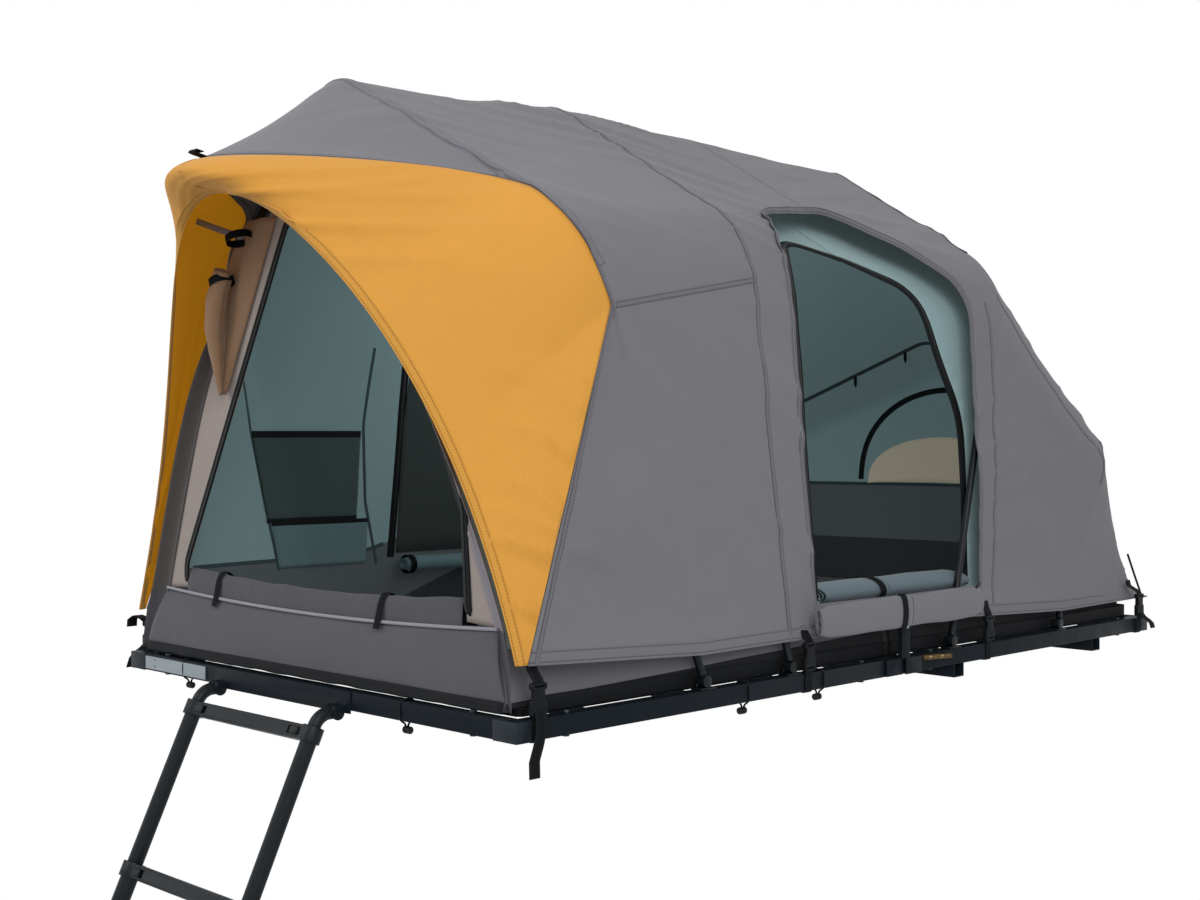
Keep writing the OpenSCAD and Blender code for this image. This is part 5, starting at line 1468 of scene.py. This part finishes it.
# pieces that both halves have: name, edge, finish and slot
paired = (
    ("side_rails", 0.0016, "rail", "rail_paint"), ("cross_rails", 0.0016, "rail", "rail_paint"),
    ("corner_brackets", 0.0008, "bracket", "bracket_paint"), ("hinge_leaves", 0.0010, "rail", "rail_paint"),
    ("slats", 0.0016, "slat", "slat_board"), ("buckles", 0.0014, "plastic", "buckle_plastic"),
    ("pole_feet", 0.0010, "pole", "pole_metal"), ("bolts", 0.0008, "bolt", "bolt_steel"),
)
carried = [
    ("mount_channels", 0.0010, "rail", rear, "rail_paint"),
    ("ladder_bracket", 0.0010, "rail", front, "rail_paint"),
    ("front_rail_plate", 0.0007, "plate", front, "plate_metal"),
    ("hinge_pins", 0.0008, "pin", rear, "pin_steel"),
    ("ladder_hooks", 0.0008, "ladder", "ladder_top", "ladder_metal"),
    ("ladder_feet", 0.0020, "foot", "ladder_section_6", "foot_rubber"),
]
for name, width, mat, slot in paired:
    carried.append(("front_" + name, width, mat, front, slot))
    carried.append(("rear_" + name, width, mat, rear, slot))
for k in range(1, 7):
    body = "ladder_top" if k == 1 else "ladder_section_%d" % k
    carried.append(("ladder_section_%d" % k, 0.0012, "ladder", body, "ladder_metal"))
    for end in ("%dl" % k, "%dr" % k):
        carried.append(("ladder_button_" + end, 0.0022, "button", "button_" + end, "button_plastic"))
for node, width, mat, body, slot in carried:
    words = node.split("_")
    softened(node, words[0] + "".join(w.capitalize() for w in words[1:]), width, mat, body, slot)
print("hard pieces carried over")

# webbing: rail loops, hem ends and loose tails
strapSet = {"width": 0.025, "thick": 0.002, "buckleZ": 0.042, "buckleL": 0.058, "bracketOut": 0.0031,
            "step": 0.004}
strapPlaces = {front: ((0.046, True), (0.800, False)), rear: ((1.480, False), (2.214, True))}
# loose tails of the corner straps as (outward, toward the end, up) from the buckle's foot
looseTails = {
    (front, 1): [((0, 0, 0.012), (0.007, 0.003, 0), (0.013, 0.008, -0.020), (0.012, 0.014, -0.045),
                  (0.007, 0.019, -0.072), (0.011, 0.022, -0.100))],
    (front, -1): [((0.002, 0, 0.056), (0.010, 0.008, 0.066), (0.024, 0.016, 0.072), (0.038, 0.022, 0.062),
                   (0.036, 0.024, 0.046)),
                  ((0, 0, 0.012), (0.010, 0.006, 0), (0.024, 0.012, -0.010), (0.038, 0.018, -0.026),
                   (0.044, 0.022, -0.048))],
    (rear, 1): [((0, 0, 0.012), (0.007, 0.006, -0.002), (0.012, 0.020, -0.010), (0.013, 0.036, -0.020),
                 (0.010, 0.050, -0.034))],
    (rear, -1): [((0, 0, 0.012), (0.007, 0.003, 0), (0.013, 0.008, -0.020), (0.010, 0.014, -0.045),
                  (0.008, 0.018, -0.066))],
}
railIn = tent["sideX"] - tent["railW"]
hemAlong = (0.0, 0.5, 0.76, 1.34, 1.81, 2.26)
hemReach = (0.640, 0.646, 0.640, 0.646, 0.640, 0.624)


def webStrap(path, thin=1):
    return strapPart(path, (0, 1, 0), strapSet["width"], strapSet["thick"] * thin, step=strapSet["step"])


for body, places in strapPlaces.items():
    loops, tops = [], []
    for along, corner in places:
        for side in (1, -1):
            x0 = tent["sideX"] + (strapSet["bracketOut"] if corner else 0) + 0.0014
            low, inX = -0.0024, railIn - 0.0014
            buckleTop = strapSet["buckleZ"] + strapSet["buckleL"]
            loop = ((x0, strapSet["buckleZ"] + 0.010), (x0, low + 0.006), (x0 - 0.004, low),
                    (inX + 0.004, low), (inX, low + 0.004), (inX, tent["railH"] - 0.004))
            loops.append(webStrap([at(side * x, along, z) for x, z in loop]))
            hemX = np.interp(along, hemAlong, hemReach) - 0.004
            top = ((x0, buckleTop - 0.010), (x0, buckleTop + 0.004), (hemX + 0.003, buckleTop + 0.020),
                   (hemX, buckleTop + 0.034))
            tops.append(webStrap([at(side * x, along, z) for x, z in top]))
            sway = -1 if body == front else 1
            foot = strapSet["buckleZ"] - 0.002
            for tail in looseTails[body, side] if corner else ():
                path = [at(side * (x0 + 0.004 + dx), along + sway * dy, foot + dz) for dx, dy, dz in tail]
                loops.append(webStrap(path, 0.8))
    words = "front" if body == front else "rear"
    gather(words + "StrapLoops", loops, ["webbing"], body, "webbing", False, words + "_straps")
    gather(words + "StrapTops", tops, ["webbing"], body, "webbing", True)
print("straps built")

# shock cord loops round the rails, each gathered in a cord lock
loopSet = {"cord": 0.004, "side": (0.6102, 0.8498), "front": (-0.429, 0.3315), "lockD": 0.014,
           "lockL": 0.018, "drop": 0.012, "corner": 0.007}
railHalfW, railHalfH = tent["railW"] / 2 + 0.0023, tent["railH"] / 2 + 0.0023


def loopRing():
    r = loopSet["corner"]
    x, low, high = railHalfW - r, -railHalfH, railHalfH - r
    right = [(0.0022, low - loopSet["drop"]), (0.0030, low - 0.004), (x, low - 0.0005)]
    right += [(x + r * math.sin(a), low + r - r * math.cos(a)) for a in np.linspace(0.2, math.pi / 2, 5)]
    right += [(x + r * math.cos(a), high + r * math.sin(a)) for a in np.linspace(0, math.pi / 2, 6)]
    ring = resample(np.array(right + [(-x, z) for x, z in right[::-1]]), 0.004)
    for _ in range(3):
        ring[1:-1] = (ring[:-2] + 2 * ring[1:-1] + ring[2:]) / 4
    return ring


def shockLoop(name, centre, alongX):
    ring = loopRing()
    offset = np.insert(ring, 0 if alongX else 1, 0, axis=1)
    points = centre + offset
    obj = gather(name, [tubePart(points, loopSet["cord"] / 2, 8)], ["cord"], front, "webbing")
    return obj


# small moulded rod with stepped ends, each step an inset and a shift
def steppedRod(sides, radius, depth, ends, edge):
    clear()
    bpy.ops.mesh.primitive_cylinder_add(vertices=sides, radius=radius, depth=depth, location=(0, 0, 0))
    obj = bpy.context.object
    for end, moves in ends.items():
        for p in obj.data.polygons:
            p.select = p.normal.z * end > 0.9
        bpy.ops.object.mode_set(mode="EDIT")
        bpy.ops.mesh.select_mode(type="FACE")
        for inset, shift in moves:
            bpy.ops.mesh.inset(thickness=inset)
            bpy.ops.mesh.extrude_region_move(TRANSFORM_OT_translate={"value": shift})
        bpy.ops.object.mode_set(mode="OBJECT")
    return bevelled(obj, edge)


def copied(source, name, matrix):
    obj = linked(name, source.data.copy())
    obj.data.transform(matrix)
    return obj


def joined(name, objects, mat, body, slot, node=None, squashed=False):
    clear()
    for o in objects:
        o.select_set(True)
    bpy.context.view_layer.objects.active = objects[0]
    if len(objects) > 1:
        bpy.ops.object.join()
    obj = bpy.context.object
    obj.name = name
    obj.data.materials.clear()
    obj.data.materials.append(finish[mat])
    bpy.ops.object.shade_smooth_by_angle(angle=math.radians(creases["hard"]))
    return place(obj, body, slot, squashed, node)


railMiddle = tent["railW"] / 2, tent["railH"] / 2
loopCentres = [(at(side * (tent["sideX"] - railMiddle[0]), d, railMiddle[1]), False)
               for d in loopSet["side"] for side in (1, -1)]
loopCentres += [(at(x, *railMiddle), True) for x in loopSet["front"]]
lockEnds = {1: [(0.0018, (0, 0, 0.0035)), (0.0012, (0, 0, 0.0014))]}
lockSource = steppedRod(20, loopSet["lockD"] / 2, loopSet["lockL"] * 0.7, lockEnds, 0.0009)
lockDrop = railHalfH + loopSet["drop"] + 0.004
locks = []
for i, (centre, alongX) in enumerate(loopCentres):
    loop = shockLoop("shockLoop%d" % (i + 1), centre, alongX)
    if i == 0:
        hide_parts("bungee_loops")
    turn = Matrix.Rotation(math.radians(90), 4, "Y" if alongX else "X")
    locks.append(copied(lockSource, "lock", Matrix.Translation(centre - (0, 0, lockDrop)) @ turn))
bpy.data.objects.remove(lockSource)
joined("cordLocks", locks, "lock", front, "lock_plastic", "cord_locks")
print("cords built")

# hooks under the ceiling seam and a toggle beside the window, all from one moulded shape
hookSet = {"ceiling": (-0.060, -0.210), "drop": 0.018, "toggle": (0.120, 0.395), "radius": 0.0045,
           "length": 0.022}
hookEnds = {end: [(0.0016, (0, 0.003, 0.006 * end))] for end in (1, -1)}
hookSource = steppedRod(12, hookSet["radius"], hookSet["length"], hookEnds, 0.0007)
hooks = []
for x in hookSet["ceiling"]:
    spot = ceiling[np.argmin(np.abs(ceiling[:, 0] - x))] - (0, 0, hookSet["drop"])
    hooks.append(copied(hookSource, "hook", Matrix.Translation(spot)))
spot = rearWall([hookSet["toggle"]])[0] - (0, 0.008, 0)
hooks.append(copied(hookSource, "hook", Matrix.Translation(spot)))
bpy.data.objects.remove(hookSource)
joined("ceilingHooks", hooks, "plastic", rear, "buckle_plastic", None, True)

# return spring along the rail behind the hinge, and the tail's spreader rods
springSet = {"from": (0.6565, 1.200, 0.030), "to": (0.6565, 1.310, 0.024), "turns": 26, "radius": 0.0048,
             "wire": 0.0015}
rodSet = {"path": ((0.634, 2.190, 0.205), (0.640, 2.212, 0.155), (0.646, 2.236, 0.104)), "radius": 0.0028}
t = np.linspace(0, 1, springSet["turns"] * 14)
ring = 2 * math.pi * springSet["turns"] * t
for side, word in ((1, "Right"), (-1, "Left")):
    line = mix(at(*springSet["from"]), at(*springSet["to"]), t[:, None])
    coil = line + np.stack([np.cos(ring), 0 * ring, np.sin(ring)], 1) * springSet["radius"]
    wire = tubePart(coil * (side, 1, 1), springSet["wire"], 6)
    gather("hingeSpring" + word, [wire], ["spring"], rear, "pin_steel")
rods = []
for side in (1, -1):
    path = evenly([at(side * x, d, z) for x, d, z in rodSet["path"]], 14)
    rods.append(tubePart(path, rodSet["radius"], 10))
gather("tailRods", rods, ["pole"], rear, "pole_metal", True)
print("small pieces built")

# stage: pale round floor, level light, white behind
floorSet = {"radius": 4.2, "fade": 2.6}
clear()
bpy.ops.mesh.primitive_circle_add(vertices=96, radius=floorSet["radius"], fill_type="NGON",
                                  location=(0, -0.6, cadLow[2] - 0.0005))
floor = bpy.context.object
floor.name = "floor"
floorMat, floorTree, floorShader = blank("paleFloor")
floorCoords = floorTree.nodes.new("ShaderNodeTexCoord")
length = floorTree.nodes.new("ShaderNodeVectorMath")
length.operation = "LENGTH"
floorTree.links.new(floorCoords.outputs["Object"], length.inputs[0])
fade = floorTree.nodes.new("ShaderNodeMapRange")
for title, value in (("From Min", floorSet["fade"]), ("From Max", floorSet["radius"]), ("To Min", 1.0),
                     ("To Max", 0.0), ("Value", length.outputs["Value"])):
    feed(floorTree, fade.inputs[title], value)
for title, value in (("Alpha", fade.outputs[0]), ("Base Color", (0.9, 0.9, 0.9, 1)), ("Roughness", 0.9)):
    feed(floorTree, floorShader.inputs[title], value)
floor.data.materials.append(floorMat)

world = bpy.data.worlds.new("studio")
bpy.context.scene.world = world
world.use_nodes = True
worldTree = world.node_tree
worldTree.nodes.clear()
worldOut = worldTree.nodes.new("ShaderNodeOutputWorld")
rays = worldTree.nodes.new("ShaderNodeLightPath")
direct = mathNode(worldTree, "MAXIMUM", rays.outputs["Is Camera Ray"], rays.outputs["Is Glossy Ray"])
seen = mathNode(worldTree, "MAXIMUM", direct, rays.outputs["Is Transmission Ray"])
either = worldTree.nodes.new("ShaderNodeMixShader")
worldTree.links.new(seen, either.inputs[0])
for i, colour, strength in ((1, (0.93, 0.96, 1.0, 1), 0.46), (2, (1, 1, 1, 1), 1.0)):
    sky = worldTree.nodes.new("ShaderNodeBackground")
    sky.inputs["Color"].default_value = colour
    sky.inputs["Strength"].default_value = strength
    worldTree.links.new(sky.outputs[0], either.inputs[i])
worldTree.links.new(either.outputs[0], worldOut.inputs[0])


def lamp(name, place, toward, size, power):
    data = bpy.data.lights.new(name, "AREA")
    data.size = size
    data.energy = power
    obj = linked(name, data)
    obj.location = place
    obj.rotation_euler = (Vector(toward) - Vector(place)).to_track_quat("-Z", "Y").to_euler()


lamp("keyLight", (4.6, -3.6, 3.0), (0, -0.6, 0.5), 3.5, 188)
lamp("topLight", (0.0, -0.6, 5.2), (0, -0.6, 0.5), 4.0, 22)
lamp("frontLight", (-1.6, -5.2, 2.6), (0, -1.2, 0.5), 3.0, 92)
cabin = bpy.data.lights.new("clothGlow", "POINT")
cabin.energy = 6.0
cabin.shadow_soft_size = 0.35
cabinLamp = linked("clothGlow", cabin)
cabinLamp.location = (0, -0.7, 0.75)
bpy.context.scene.view_settings.view_transform = "Standard"
